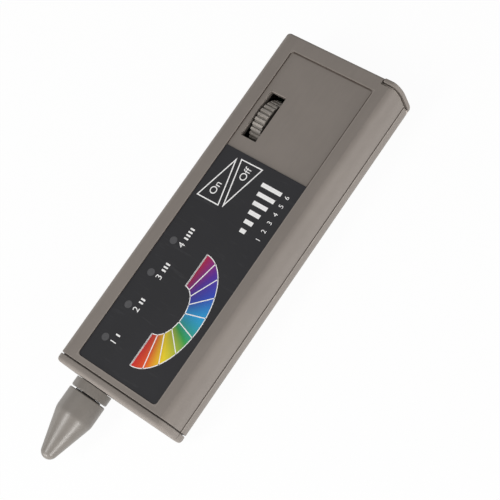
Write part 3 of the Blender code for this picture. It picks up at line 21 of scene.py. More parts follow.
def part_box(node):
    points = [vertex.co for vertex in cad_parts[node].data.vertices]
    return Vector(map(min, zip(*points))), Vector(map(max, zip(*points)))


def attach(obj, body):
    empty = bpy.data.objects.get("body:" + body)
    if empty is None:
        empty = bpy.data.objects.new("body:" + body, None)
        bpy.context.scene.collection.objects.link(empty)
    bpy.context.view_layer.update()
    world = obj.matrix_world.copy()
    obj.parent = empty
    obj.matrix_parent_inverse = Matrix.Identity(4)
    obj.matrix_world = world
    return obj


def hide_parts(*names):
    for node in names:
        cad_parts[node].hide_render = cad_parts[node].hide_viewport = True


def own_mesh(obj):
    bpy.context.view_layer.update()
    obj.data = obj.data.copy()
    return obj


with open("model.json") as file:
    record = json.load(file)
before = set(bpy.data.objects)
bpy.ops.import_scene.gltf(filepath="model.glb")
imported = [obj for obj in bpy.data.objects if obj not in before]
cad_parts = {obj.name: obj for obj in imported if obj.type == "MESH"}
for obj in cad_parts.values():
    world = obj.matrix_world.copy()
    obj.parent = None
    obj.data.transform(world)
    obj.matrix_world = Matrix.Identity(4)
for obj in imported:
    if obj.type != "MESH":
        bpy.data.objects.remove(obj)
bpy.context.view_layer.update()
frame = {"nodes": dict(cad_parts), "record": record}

MM = 0.001
WELD = 0.0005 * MM
FLAT = math.radians(0.3)
NORMAL_WEIGHT = 80
DISC_SIDES = 32
DOME_SEGMENTS = 12
DOME_RINGS = 8
LETTER_STEPS = 4
# The least cosine that a corner's step is divided by, so that a sharp corner doesn't run away
LEAST_COSINE = 0.15
LOG = logging.getLogger("tester")

Colour = tuple[float, float, float]
Place = tuple[float, float, float]
Point = tuple[float, float]
Band = tuple[float, float, float]
Stops = tuple[tuple[float, Colour], ...]
Values = dict[int | str, object]


def srgb(red: float, green: float, blue: float) -> Colour:
    """Turns display values from 0 to 255 into a linear colour."""
    shares = (value / 255 for value in (red, green, blue))
    return tuple(share / 12.92 if share <= 0.04045 else ((share + 0.055) / 1.055) ** 2.4 for share in shares)


def tinted(colour: Colour, factor: float) -> Colour:
    """Returns the colour made lighter or darker by a factor."""
    return tuple(min(1.0, channel * factor) for channel in colour)


def maths(operation: str, swapped: bool = False) -> Callable[..., "Wire"]:
    """Makes a method of Wire that adds a Math node.

    Args:
        operation: The Math node's operation.
        swapped: Whether the wire is the second of its two values.

    Returns:
        The method.
    """

    def method(wire: "Wire", *others: "Wire | float") -> "Wire":
        """Returns the result of the operation on a wire and other values."""
        values = (*others, wire) if swapped else (wire, *others)
        return wire.nodes.node("ShaderNodeMath", {"operation": operation}, dict(enumerate(values)))

    return method


class Wire:
    """One socket of a node tree, on which arithmetic adds Math nodes."""

    def __init__(self, nodes: "Nodes", socket: bpy.types.NodeSocket) -> None:
        """Keeps the socket and the tree that it belongs to."""
        self.nodes = nodes
        self.socket = socket

    __add__ = __radd__ = maths("ADD")
    __sub__ = maths("SUBTRACT")
    __rsub__ = maths("SUBTRACT", swapped=True)
    __mul__ = __rmul__ = maths("MULTIPLY")
    __truediv__ = maths("DIVIDE")
    __abs__ = maths("ABSOLUTE")
    larger = maths("MAXIMUM")
    smaller = maths("MINIMUM")
    power = maths("POWER")
    root = maths("SQRT")
    sine = maths("SINE")
    cosine = maths("COSINE")
    angle = maths("ARCTAN2")

    def within(self, low: float, high: float, soft: float) -> "Wire":
        """Returns 1 between two values and 0 beyond them, with a soft change at each."""
        half = soft / 2
        return self.steps(low - half, low + half) * self.steps(high - half, high + half, (1.0, 0.0))

    def steps(self, low: float, high: float, to: Point = (0.0, 1.0)) -> "Wire":
        """Maps the range between two values smoothly onto another and holds its ends."""
        values = {"Value": self, "From Min": low, "From Max": high, "To Min": to[0], "To Max": to[1]}
        return self.nodes.node("ShaderNodeMapRange", {"interpolation_type": "SMOOTHSTEP"}, values)


class Nodes:
    """A node tree and the nodes that are put into it."""

    def __init__(self, tree: bpy.types.NodeTree) -> None:
        """Keeps the tree."""
        self.tree = tree

    def node(
        self, kind: str, settings: Values | None = None, values: Values | None = None, output: int | str = 0
    ) -> Wire | None:
        """Adds a node.

        Args:
            kind: The node's type.
            settings: The node's own settings, and a ramp's stops, which are set first.
            values: Numbers, linear colours or wires for its inputs, by place or name.
            output: The output that is returned, by place or name.

        Returns:
            One of the node's outputs, if it has any.
        """
        made = self.tree.nodes.new(kind)
        for name, value in (settings or {}).items():
            if name == "stops":
                row = made.color_ramp.elements
                for place, (position, colour) in enumerate(value):
                    stop = row[place] if place < 2 else row.new(position)
                    stop.position = position
                    stop.color = (*colour, 1.0)
            else:
                setattr(made, name, value)
        for name, value in (values or {}).items():
            socket = made.inputs[name]
            if isinstance(value, Wire):
                self.tree.links.new(value.socket, socket)
            else:
                socket.default_value = (*value, 1.0) if socket.type == "RGBA" else value
        return Wire(self, made.outputs[output]) if made.outputs else None

    def outputs(self, kind: str, values: Values | None = None) -> dict[str, Wire]:
        """Adds a node and returns all its outputs by name."""
        first = self.node(kind, {}, values)
        return {socket.name: Wire(self, socket) for socket in first.socket.node.outputs}

    def split(self, vector: Wire) -> list[Wire]:
        """Returns a vector's three numbers one by one."""
        return list(self.outputs("ShaderNodeSeparateXYZ", {0: vector}).values())


class Graph(Nodes):
    """The node tree of a material or a world."""

    def __init__(self, owner: bpy.types.Material | bpy.types.World) -> None:
        """Empties the owner's node tree.

        Args:
            owner: The material or the world.
        """
        owner.use_nodes = True
        super().__init__(owner.node_tree)
        self.owner = owner
        self.tree.nodes.clear()

    def place(self) -> Wire:
        """Returns the object's own coordinates, in metres."""
        return self.node("ShaderNodeTexCoord", output="Object")

    def axes(self) -> list[Wire]:
        """Returns the three coordinates one by one."""
        return self.split(self.place())

    def noise(self, size: float, detail: float = 2.0, stretch: Place = (1, 1, 1)) -> Wire:
        """Adds noise.

        Args:
            size: The size of its largest blots, in metres.
            detail: How many finer layers it has.
            stretch: How much denser it is along each axis.

        Returns:
            Values about 0.5.
        """
        place = self.node("ShaderNodeMapping", {}, {"Vector": self.place(), "Scale": stretch})
        values = {"Vector": place, "Scale": 1 / size, "Detail": detail, "Roughness": 0.55}
        return self.node("ShaderNodeTexNoise", {}, values)

    def cells(self, size: float) -> Wire:
        """Returns the distance to the nearest of many scattered points, that size apart."""
        return self.node("ShaderNodeTexVoronoi", {}, {"Vector": self.place(), "Scale": 1 / size})

    def mix(self, share: Wire | float, first: Wire | Colour, second: Wire | Colour) -> Wire:
        """Mixes two colours, of which the second shows by the share."""
        settings = {"data_type": "RGBA", "clamp_factor": True}
        return self.node("ShaderNodeMix", settings, {0: share, 6: first, 7: second}, 2)

    def shades(self, share: Wire, colour: Colour, first: float, second: float) -> Wire:
        """Mixes two tints of one colour, each given by its factor."""
        return self.mix(share, tinted(colour, first), tinted(colour, second))

    def bump(self, height: Wire, distance: float, strength: float = 1.0, under: Wire | None = None) -> Wire:
        """Adds relief.

        Args:
            height: The height, from 0 to 1.
            distance: The depth of the relief, in metres.
            strength: How much of it shows.
            under: The normal of a coarser relief that it lies on, if any.

        Returns:
            The normal.
        """
        values = {"Height": height, "Distance": distance, "Strength": strength}
        if under is not None:
            values["Normal"] = under
        return self.node("ShaderNodeBump", {}, values)

    def shown(self, shader: Wire, kind: str = "Material") -> bpy.types.Material | bpy.types.World:
        """Joins a shader to the output of that kind and returns the owner."""
        self.node("ShaderNodeOutput" + kind, {}, {"Surface": shader})
        return self.owner


@dataclass(frozen=True)
class Finish:
    """A finish, of which each kind works out its shader's inputs in its own way."""

    name: str

    def looks(self, graph: Graph) -> Values:
        """Works out the shader's inputs by name."""
        raise NotImplementedError(self.name)

    def material(self) -> bpy.types.Material:
        """Builds the finish as a material."""
        graph = Graph(bpy.data.materials.new(self.name))
        return graph.shown(graph.node("ShaderNodeBsdfPrincipled", {}, self.looks(graph)))


@dataclass(frozen=True)
class MouldedPlastic(Finish):
    """Plastic from an etched mould: fine grain, clouding, faint flow marks and dust."""

    colour: Colour
    roughness: float
    grain: float = 0.25 * MM
    relief: float = 0.012 * MM
    cloud: float = 14 * MM
    flow: float = 3.2 * MM
    dust: float = 0.9 * MM
    mottle: float = 0.035
    specular: float = 0.5

    def coloured(self, graph: Graph) -> Wire:
        """Clouds the plastic's colour a little, with dust in spots.

        Args:
            graph: The material's nodes.

        Returns:
            The colour.
        """
        flow = graph.noise(self.flow, 2, (2.2, 0.35, 1))
        tone = graph.noise(self.cloud, 3) * 0.6 + flow * 0.25 + graph.noise(self.grain) * 0.15
        colour = graph.shades(tone.steps(0.36, 0.64), self.colour, 1 - self.mottle, 1 + self.mottle)
        dust = graph.noise(self.dust, 4).steps(0.66, 0.78, (0, 0.16))
        return graph.mix(dust, colour, tinted(self.colour, 1.22))

    def crowned(self, graph: Graph) -> Wire | None:
        """Returns the normal of the moulding's coarse swell, if it has one."""
        return None

    def looks(self, graph: Graph) -> Values:
        """Works out the shader's inputs.

        Args:
            graph: The material's nodes.

        Returns:
            The inputs by name.
        """
        cloud = graph.noise(self.cloud, 3)
        grain = graph.noise(self.grain, 2)
        height = grain * 0.7 + graph.cells(self.grain * 2.6).smaller(1) * 0.3
        return {
            "Base Color": self.coloured(graph),
            "Roughness": self.roughness + (cloud - 0.5) * 0.10 + (grain - 0.5) * 0.12,
            "Specular IOR Level": self.specular,
            "Normal": graph.bump(height, self.relief, 0.9, self.crowned(graph)),
        }


@dataclass(frozen=True)
class CasePlastic(MouldedPlastic):
    """The case's plastic, with grime and painted shade in its parting seam, painted shade in its groove,
    painted shadow and shade in its recess, painted light in its slots, a rubbed recess lip and a painted
    highlight below the seam.

    A band holds its two ends and how softly it ends.
    """

    recess_side: float = 17.15 * MM
    recess_front: float = -48.65 * MM
    recess_rear: float = 76.65 * MM
    recess_rim: Point = (-0.1 * MM, 0.0)
    # Bands of painted shadow and shade in the recess, beside its walls and at their foot.
    right_shade: Band = (-0.05 * MM, 0.62 * MM, 0.2 * MM)
    rear_shade: Band = (-0.05 * MM, 0.5 * MM, 0.3 * MM)
    wall_foot: Band = (-0.05 * MM, 0.16 * MM, 0.12 * MM)
    wall_up: Band = (22.5 * MM, 23.08 * MM, 0.06 * MM)
    lip: Band = (-0.35 * MM, -0.02 * MM, 0.1 * MM)
    lip_up: Point = (23.1 * MM, 23.2 * MM)
    flank: Point = (20 * MM, 21 * MM)
    body: Band = (-50.7 * MM, 79.7 * MM, 0.1 * MM)
    # The parting seam, darkened by grime and painted shade, and the edge below it, painted pale as a
    # highlight.
    seam: Band = (12 * MM, 12.8 * MM, 0.2 * MM)
    seam_edge: Band = (11.4 * MM, 11.95 * MM, 0.15 * MM)
    # The groove between the flange and the body, where shade is painted.
    groove: Band = (-51.2 * MM, -50.7 * MM, 0.12 * MM)
    # Where light is painted into the finger slot and onto the wheel slot's walls, so that they look lit.
    finger_slot: Band = (79.8 * MM, 80.7 * MM, 0.08 * MM)
    finger_from: Point = (17.6 * MM, 17.9 * MM)
    wheel_slot_across: Band = (-15.005 * MM, -8.555 * MM, 0.02 * MM)
    wheel_slot_along: Band = (42.375 * MM, 60.925 * MM, 0.02 * MM)
    wheel_slot_up: Band = (21.5 * MM, 22.56 * MM, 0.06 * MM)
    wheel_slot_near: float = 0.05 * MM
    crown: Point = (17.3 * MM, 22.6 * MM)
    crown_from: Point = (8 * MM, 9 * MM)
    crown_fall: float = 0.4 * MM
    patch: float = 1.3 * MM
    wear: float = 2.6 * MM
    # The colour of the seam's grime, which also stands for the painted shade and shadow in the seam, the
    # groove and the recess.
    grime: Colour = srgb(54, 42, 34)

    def crowned(self, graph: Graph) -> Wire:
        """Works out a face that falls away a little before its shoulders.

        Args:
            graph: The material's nodes.

        Returns:
            The face's normal.
        """
        across, _, up = graph.axes()
        swell = abs(across).steps(*self.crown, (1.0, 0.0)) * up.steps(*self.crown_from)
        return graph.bump(swell, self.crown_fall)

    def slot_walls(self, across: Wire, along: Wire, up: Wire) -> Wire:
        """Finds the left and rear walls of the wheel's slot, which are painted light as if lit.

        Args:
            across: The coordinate across the case.
            along: The coordinate along it.
            up: The height.

        Returns:
            1 on the walls and 0 elsewhere.
        """
        near, start, end = self.wheel_slot_near, self.wheel_slot_across[0], self.wheel_slot_along[1]
        soft = self.wheel_slot_along[2]
        left = across.within(start - near, start + near, soft) * along.within(*self.wheel_slot_along)
        rear = along.within(end - near, end + near, soft) * across.within(*self.wheel_slot_across)
        return left.larger(rear) * up.within(*self.wheel_slot_up)

    def coloured(self, graph: Graph) -> Wire:
        """Paints grime and shade into the parting seam, shade into the groove, shade and shadow into the
        recess, light into the slots and a highlight below the seam, and rubs the recess lip pale.

        Args:
            graph: The material's nodes.

        Returns:
            The colour.
        """
        across, along, up = graph.axes()
        side = abs(across)
        inset = (self.recess_side - side).smaller(self.recess_rear - along).smaller(along - self.recess_front)
        # Painted shadow on the recess floor beside its right and rear walls, and painted shade along the foot
        # of its walls.
        right = (self.recess_side - across).within(*self.right_shade)
        rear = (self.recess_rear - along).within(*self.rear_shade)
        shaded = right.larger(rear * 0.8) * inset.steps(*self.recess_rim)
        wall_shade = inset.within(*self.wall_foot).larger(shaded) * up.within(*self.wall_up)
        lip = inset.within(*self.lip) * up.steps(*self.lip_up)
        outside = side.steps(*self.flank) * along.within(*self.body)
        # Grime and painted shade darken the parting seam; a painted highlight lightens the shell's edge just
        # below it.
        seam = up.within(*self.seam) * outside
        edge = up.within(*self.seam_edge) * outside
        # Painted shade in the groove between the flange and the body.
        groove = along.within(*self.groove)
        patchy = graph.noise(self.patch, 3).steps(0.3, 0.6, (0.85, 1.0))
        # Painted shade and shadow in the recess, grime and painted shade in the parting seam, and painted
        # shade in the groove, all darkened towards the grime colour.
        dirt = (wall_shade * 0.85).larger(seam).larger(groove * 0.35) * patchy
        # Painted light: the finger slot is lightened as if its floor were lit.
        finger_slot_light = along.within(*self.finger_slot) * across.steps(*self.finger_from)
        # The recess lip rubbed pale, and a painted highlight along the shell's edge below the seam.
        rubbed = lip.larger(edge * 1.8) * graph.noise(self.wear, 3).steps(0.35, 0.65, (0.5, 1.0))
        colour = graph.mix(rubbed * 0.5, super().coloured(graph), tinted(self.colour, 1.45))
        colour = graph.mix(finger_slot_light, colour, tinted(self.colour, 1.9))
        # Painted light on the wheel slot's left and rear walls.
        colour = graph.mix(self.slot_walls(across, along, up), colour, tinted(self.colour, 1.7))
        return graph.mix(dirt, colour, self.grime)


@dataclass(frozen=True)
class PolishedPlastic(Finish):
    """Smooth plastic with a soft sheen, faint drawn scratches along it and handling marks."""

    colour: Colour
    roughness: float
    coat: float
    cloud: float = 6 * MM
    smear: float = 1.6 * MM
    scratch: float = 0.5 * MM
    grain: float = 0.18 * MM
    relief: float = 0.005 * MM

    def looks(self, graph: Graph) -> Values:
        """Works out the shader's inputs.

        Args:
            graph: The material's nodes.

        Returns:
            The inputs by name.
        """
        cloud = graph.noise(self.cloud, 3)
        smear = graph.noise(self.smear, 3, (1, 0.4, 1))
        scratch = graph.noise(self.scratch, 1, (5, 0.25, 5)).steps(0.62, 0.7)
        grain = graph.noise(self.grain, 1)
        colour = graph.shades(cloud.steps(0.35, 0.65), self.colour, 0.965, 1.03)
        return {
            "Base Color": graph.mix(scratch * 0.10, colour, tinted(self.colour, 1.35)),
            "Roughness": self.roughness + (smear - 0.5) * 0.14 + scratch * 0.08,
            "Coat Weight": self.coat,
            "Coat Roughness": 0.25,
            "Normal": graph.bump(grain * 0.6 + scratch * -0.4, self.relief, 0.8),
        }


@dataclass(frozen=True)
class WornPlastic(Finish):
    """Ribbed plastic that a thumb has rubbed pale on its crests."""

    colour: Colour
    worn: Colour
    axis: Point
    crest: Point
    roughness: float = 0.45
    patch: float = 0.8 * MM
    dirt: float = 0.5 * MM
    grain: float = 0.2 * MM
    relief: float = 0.012 * MM

    def looks(self, graph: Graph) -> Values:
        """Works out the shader's inputs.

        Args:
            graph: The material's nodes.

        Returns:
            The inputs by name.
        """
        _, along, up = graph.axes()
        away = ((along - self.axis[0]).power(2) + (up - self.axis[1]).power(2)).root()
        rubbed = away.steps(*self.crest)
        patchy = graph.noise(self.patch, 3).steps(0.35, 0.65, (0.45, 1.0))
        grain = graph.noise(self.grain, 2)
        grime = graph.noise(self.dirt, 2).steps(0.5, 0.7) * (1 - rubbed)
        colour = graph.mix(rubbed * patchy, self.colour, self.worn)
        return {
            "Base Color": graph.mix(grime * 0.35, colour, tinted(self.colour, 0.4)),
            "Roughness": self.roughness - rubbed * 0.1 + (grain - 0.5) * 0.15,
            "Normal": graph.bump(grain, self.relief, 0.8),
        }


@dataclass(frozen=True)
class PrintedFilm(Finish):
    """Dark polyester film with a fine velvet grain and faint wiping marks."""

    colour: Colour
    roughness: float
    cloud: float = 20 * MM
    wiping: float = 2.4 * MM
    grain: float = 0.16 * MM
    relief: float = 0.004 * MM

    def looks(self, graph: Graph) -> Values:
        """Works out the shader's inputs.

        Args:
            graph: The material's nodes.

        Returns:
            The inputs by name.
        """
        fine = graph.noise(self.grain, 1)
        wiped = graph.noise(self.wiping, 3, (0.3, 1.6, 1)).steps(0.55, 0.8)
        colour = graph.shades(graph.noise(self.cloud, 2).steps(0.3, 0.7), self.colour, 0.92, 1.08)
        return {
            "Base Color": graph.mix(wiped * 0.05, colour, (0.2, 0.2, 0.21)),
            "Roughness": self.roughness + (fine - 0.5) * 0.2 - wiped * 0.06,
            "Specular IOR Level": 0.25,
            "Normal": graph.bump(fine, self.relief, 0.9),
        }


@dataclass(frozen=True)
class PrintingInk(Finish):
    """Screen-printed ink, a little uneven where the mesh left it thin."""

    weave: ClassVar[float] = 0.22 * MM
    relief: ClassVar[float] = 0.004 * MM

    roughness: float

    def coloured(self, graph: Graph, mesh: Wire) -> Wire:
        """Works out the ink's colour over the marks of the printing mesh."""
        raise NotImplementedError(self.name)

    def looks(self, graph: Graph) -> Values:
        """Works out the shader's inputs.

        Args:
            graph: The material's nodes.

        Returns:
            The inputs by name.
        """
        mesh = graph.noise(self.weave, 2)
        return {
            "Base Color": self.coloured(graph, mesh),
            "Roughness": self.roughness + (mesh - 0.5) * 0.2,
            "Specular IOR Level": 0.3,
            "Normal": graph.bump(mesh, self.relief, 0.6),
        }


@dataclass(frozen=True)
class PlainInk(PrintingInk):
    """Ink of one colour."""

    colour: Colour
    thin: float
    patch: float = 1.4 * MM

    def coloured(self, graph: Graph, mesh: Wire) -> Wire:
        """Returns the ink's colour, darker where it is thin."""
        share = (mesh * 0.6 + graph.noise(self.patch, 2) * 0.4).steps(0.38, 0.62)
        return graph.shades(share, self.colour, self.thin, 1)


@dataclass(frozen=True)
class SpectrumInk(PrintingInk):
    """Inks that run through the colours of the spectrum round the middle of a gauge."""

    middle: Point
    radii: Point
    stops: Stops

    def coloured(self, graph: Graph, mesh: Wire) -> Wire:
        """Runs through the colours round the gauge's middle.

        Args:
            graph: The material's nodes.
            mesh: The marks of the printing mesh.

        Returns:
            The colour.
        """
        across, along, _ = graph.axes()
        right = (across - self.middle[0]) / self.radii[0]
        ahead = (along - self.middle[1]) / self.radii[1]
        turn = ahead.angle(right) / math.pi + 0.5
        away = (right.power(2) + ahead.power(2)).root()
        values = {0: turn + (mesh - 0.5) * 0.015}
        colour = graph.node("ShaderNodeValToRGB", {"stops": self.stops}, values)
        colour = graph.mix(away.steps(0.45, 1.0, (0.30, 0.0)), colour, (0.02, 0.02, 0.03))
        return graph.mix(mesh.steps(0.6, 0.8, (0.0, 0.12)), colour, (0.9, 0.9, 0.9))


@dataclass(frozen=True)
class Metal(Finish):
    """Bare or plated metal with fine tool marks and a little tarnish."""

    colour: Colour
    roughness: float
    stretch: Place
    tarnish: Colour = (0.12, 0.10, 0.08)
    tarnished: float = 0.25
    marks: float = 0.3 * MM
    stain: float = 2.5 * MM
    relief: float = 0.006 * MM

    def looks(self, graph: Graph) -> Values:
        """Works out the shader's inputs.

        Args:
            graph: The material's nodes.

        Returns:
            The inputs by name.
        """
        marks = graph.noise(self.marks, 2, self.stretch)
        stain = graph.noise(self.stain, 3).steps(0.52, 0.78, (0.0, self.tarnished))
        colour = graph.shades(marks.steps(0.35, 0.65), self.colour, 0.88, 1)
        return {
            "Base Color": graph.mix(stain, colour, self.tarnish),
            "Metallic": 1.0,
            "Roughness": self.roughness + (marks - 0.5) * 0.16 + stain * 0.5,
            "Normal": graph.bump(marks, self.relief, 0.7),
        }


@dataclass(frozen=True)
class Lens(Finish):
    """Smoked plastic over a small lamp."""

    colour: Colour
    roughness: float = 0.3
    haze: float = 0.7 * MM
    grain: float = 0.12 * MM
    relief: float = 0.003 * MM

    def looks(self, graph: Graph) -> Values:
        """Works out the shader's inputs.

        Args:
            graph: The material's nodes.

        Returns:
            The inputs by name.
        """
        fine = graph.noise(self.grain, 1)
        haze = graph.noise(self.haze, 2).steps(0.3, 0.7)
        return {
            "Base Color": graph.shades(haze, self.colour, 0.85, 1.15),
            "Roughness": self.roughness + (fine - 0.5) * 0.1,
            "Coat Weight": 0.3,
            "Coat Roughness": 0.2,
            "Normal": graph.bump(fine, self.relief, 0.5),
        }


@dataclass(frozen=True)
class Laminate(Finish):
    """Circuit board: solder mask over copper tracks and ground, with bare rings."""

    mask: Colour
    pitch: float = 2.54 * MM
    weave: float = 0.5 * MM
    wander: float = 9 * MM
    ring: float = 4.2 * MM
    grain: float = 0.3 * MM
    relief: float = 0.03 * MM

    def looks(self, graph: Graph) -> Values:
        """Works out the shader's inputs.

        Args:
            graph: The material's nodes.

        Returns:
            The inputs by name.
        """
        across, along, _ = graph.axes()
        wander = graph.noise(self.wander, 0) * 3
        track = ((across / self.pitch + wander).sine() * 0.5 + 0.5).steps(0.62, 0.72)
        branch = ((along / (self.pitch * 1.7) + wander * 2).sine() * 0.5 + 0.5).steps(0.74, 0.82)
        copper = track.larger(branch)
        weave = (across * (math.tau / self.weave)).sine() * (along * (math.tau / self.weave)).sine()
        ring = graph.cells(self.ring).steps(0.16, 0.2, (1, 0))
        colour = graph.mix(copper * 0.55, self.mask, tinted(self.mask, 2.1))
        colour = graph.mix(weave.steps(-1, 1, (0, 0.10)), colour, tinted(self.mask, 0.6))
        height = copper * 0.7 + ring * 0.3 + weave * 0.05
        return {
            "Base Color": graph.mix(ring, colour, srgb(190, 170, 110)),
            "Roughness": 0.38 - ring * 0.08 + (graph.noise(self.grain) - 0.5) * 0.1,
            "Metallic": ring * 0.8,
            "Normal": graph.bump(height, self.relief, 0.8),
        }


@dataclass(frozen=True)
class Jacket(Finish):
    """Printed metal jacket of a battery: a dark body with a pale band and a lap seam."""

    body: Colour
    band: Colour
    band_ends: Point
    lap: float = 2 * MM
    edge: float = 0.1 * MM
    cloud: float = 7 * MM
    rolled: float = 0.25 * MM
    scuff: float = 1.1 * MM
    relief: float = 0.05 * MM

    def looks(self, graph: Graph) -> Values:
        """Works out the shader's inputs.

        Args:
            graph: The material's nodes.

        Returns:
            The inputs by name.
        """
        across, along, _ = graph.axes()
        cloud = graph.noise(self.cloud, 3).steps(0.4, 0.7, (0, 0.15))
        rolled = graph.noise(self.rolled, 1, (0.2, 3, 1))
        scuff = graph.noise(self.scuff, 4, (3, 0.4, 1)).steps(0.63, 0.72)
        inside, beyond = (along.steps(end, end + self.edge) for end in self.band_ends)
        seam = abs(across + self.lap).steps(self.edge, self.edge * 2, (1, 0))
        colour = graph.mix(inside - beyond, self.body, self.band)
        colour = graph.mix(cloud, colour, tinted(self.body, 0.6))
        return {
            "Base Color": graph.mix(scuff * 0.5, colour, srgb(170, 170, 172)),
            "Metallic": 0.35 + scuff * 0.5,
            "Roughness": 0.32 + (rolled - 0.5) * 0.15 + scuff * 0.1,
            "Normal": graph.bump(rolled * 0.3 - seam * 0.7, self.relief, 0.7),
        }


@dataclass(frozen=True)
class Foam(Finish):
    """Open-celled foam: small pores painted dark as shade, in a dull body."""

    colour: Colour
    pore: float = 0.55 * MM
    grain: float = 0.2 * MM
    relief: float = 0.15 * MM

    def looks(self, graph: Graph) -> Values:
        """Works out the shader's inputs.

        Args:
            graph: The material's nodes.

        Returns:
            The inputs by name.
        """
        open_cell = graph.cells(self.pore).steps(0.15, 0.45, (1, 0))
        fine = graph.noise(self.grain, 3)
        # Painted shade: the pores are darkened.
        colour = graph.shades(open_cell, self.colour, 1.5, 0.4)
        return {
            "Base Color": graph.mix(fine.steps(0.4, 0.7, (0, 0.3)), colour, tinted(self.colour, 1.9)),
            "Roughness": 0.93 + (fine - 0.5) * 0.1,
            "Normal": graph.bump(1 - open_cell, self.relief, 0.9),
        }


@dataclass(frozen=True)
class Insulation(Finish):
    """Soft extruded sheath with a waxy bloom."""

    colour: Colour
    bloom: float = 0.25
    wax: float = 0.6
    cloud: float = 1.5 * MM
    drawn: float = 0.2 * MM
    relief: float = 0.01 * MM

    def looks(self, graph: Graph) -> Values:
        """Works out the shader's inputs.

        Args:
            graph: The material's nodes.

        Returns:
            The inputs by name.
        """
        cloud = graph.noise(self.cloud, 3)
        drawn = graph.noise(self.drawn, 1, (1, 0.2, 1))
        pale = tuple(channel + (self.wax - channel) * self.bloom for channel in self.colour)
        return {
            "Base Color": graph.mix(cloud.steps(0.5, 0.8, (0, 0.6)), self.colour, pale),
            "Roughness": 0.42 + (cloud - 0.5) * 0.2 + (drawn - 0.5) * 0.1,
            "Normal": graph.bump(drawn, self.relief, 0.6),
        }


@dataclass(frozen=True)
class Ceramic(Finish):
    """Unglazed ceramic with grains and a few dark flecks."""

    colour: Colour
    grain: float = 0.15 * MM
    fleck: float = 0.7 * MM
    relief: float = 0.02 * MM

    def looks(self, graph: Graph) -> Values:
        """Works out the shader's inputs.

        Args:
            graph: The material's nodes.

        Returns:
            The inputs by name.
        """
        grain = graph.noise(self.grain, 3)
        fleck = graph.cells(self.fleck).steps(0.04, 0.1, (1, 0))
        colour = graph.shades(grain.steps(0.35, 0.65), self.colour, 0.88, 1)
        return {
            "Base Color": graph.mix(fleck * 0.5, colour, srgb(120, 104, 84)),
            "Roughness": 0.75 + (grain - 0.5) * 0.2,
            "Normal": graph.bump(grain, self.relief, 0.9),
        }


def middle_of(node: str) -> Vector:
    """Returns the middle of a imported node."""
    low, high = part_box(node)
    return (low + high) / 2


WHEEL = middle_of("wheel_shaft")
WHEEL_CREST = (8.6 * MM, 9.4 * MM)

FINISHES = {
    "case_plastic": CasePlastic("case_plastic_moulded", srgb(128, 121, 115), 0.58, specular=0.32),
    "label_film": PrintedFilm("label_film_dark", srgb(31, 31, 34), 0.46),
    "wheel_plastic": WornPlastic(
        "wheel_plastic_worn", srgb(112, 107, 101), srgb(156, 150, 143), (WHEEL.y, WHEEL.z), WHEEL_CREST
    ),
    "cap_plastic": PolishedPlastic("cap_plastic_satin", srgb(118, 113, 107), 0.34, 0.05),
    "collar_plastic": MouldedPlastic("collar_plastic_moulded", srgb(114, 109, 103), 0.36),
    "black_plastic": MouldedPlastic("black_plastic_moulded", srgb(26, 26, 28), 0.5, mottle=0.12),
    "copper": Metal("copper_polished", srgb(196, 124, 86), 0.26, (1, 8, 1), srgb(96, 52, 36), 0.5),
    "steel": Metal("steel_plated", srgb(186, 186, 188), 0.3, (6, 6, 1)),
    "board": Laminate("board_laminate", srgb(24, 84, 50)),
    "led_lens": Lens("light_lens_smoked", srgb(120, 120, 124)),
    "nylon": MouldedPlastic("nylon_natural", srgb(225, 222, 212), 0.5, mottle=0.03),
    "ceramic": Ceramic("ceramic_unglazed", srgb(222, 214, 196)),
    "battery_jacket": Jacket(
        "battery_jacket_printed", srgb(52, 54, 60), srgb(176, 148, 86), (60 * MM, 73 * MM)
    ),
    "foam": Foam("foam_open", srgb(52, 52, 55)),
    "red_insulation": Insulation("insulation_red", srgb(164, 24, 22)),
    "black_insulation": Insulation("insulation_black", srgb(24, 24, 26), 0.08),
    "white_ink": PlainInk("ink_white", 0.5, srgb(250, 250, 250), 0.9),
}


class Shape(Enum):
    """The small shapes that a row repeats."""

    BAR = "bar"
    DISC = "disc"
    DOME = "dome"


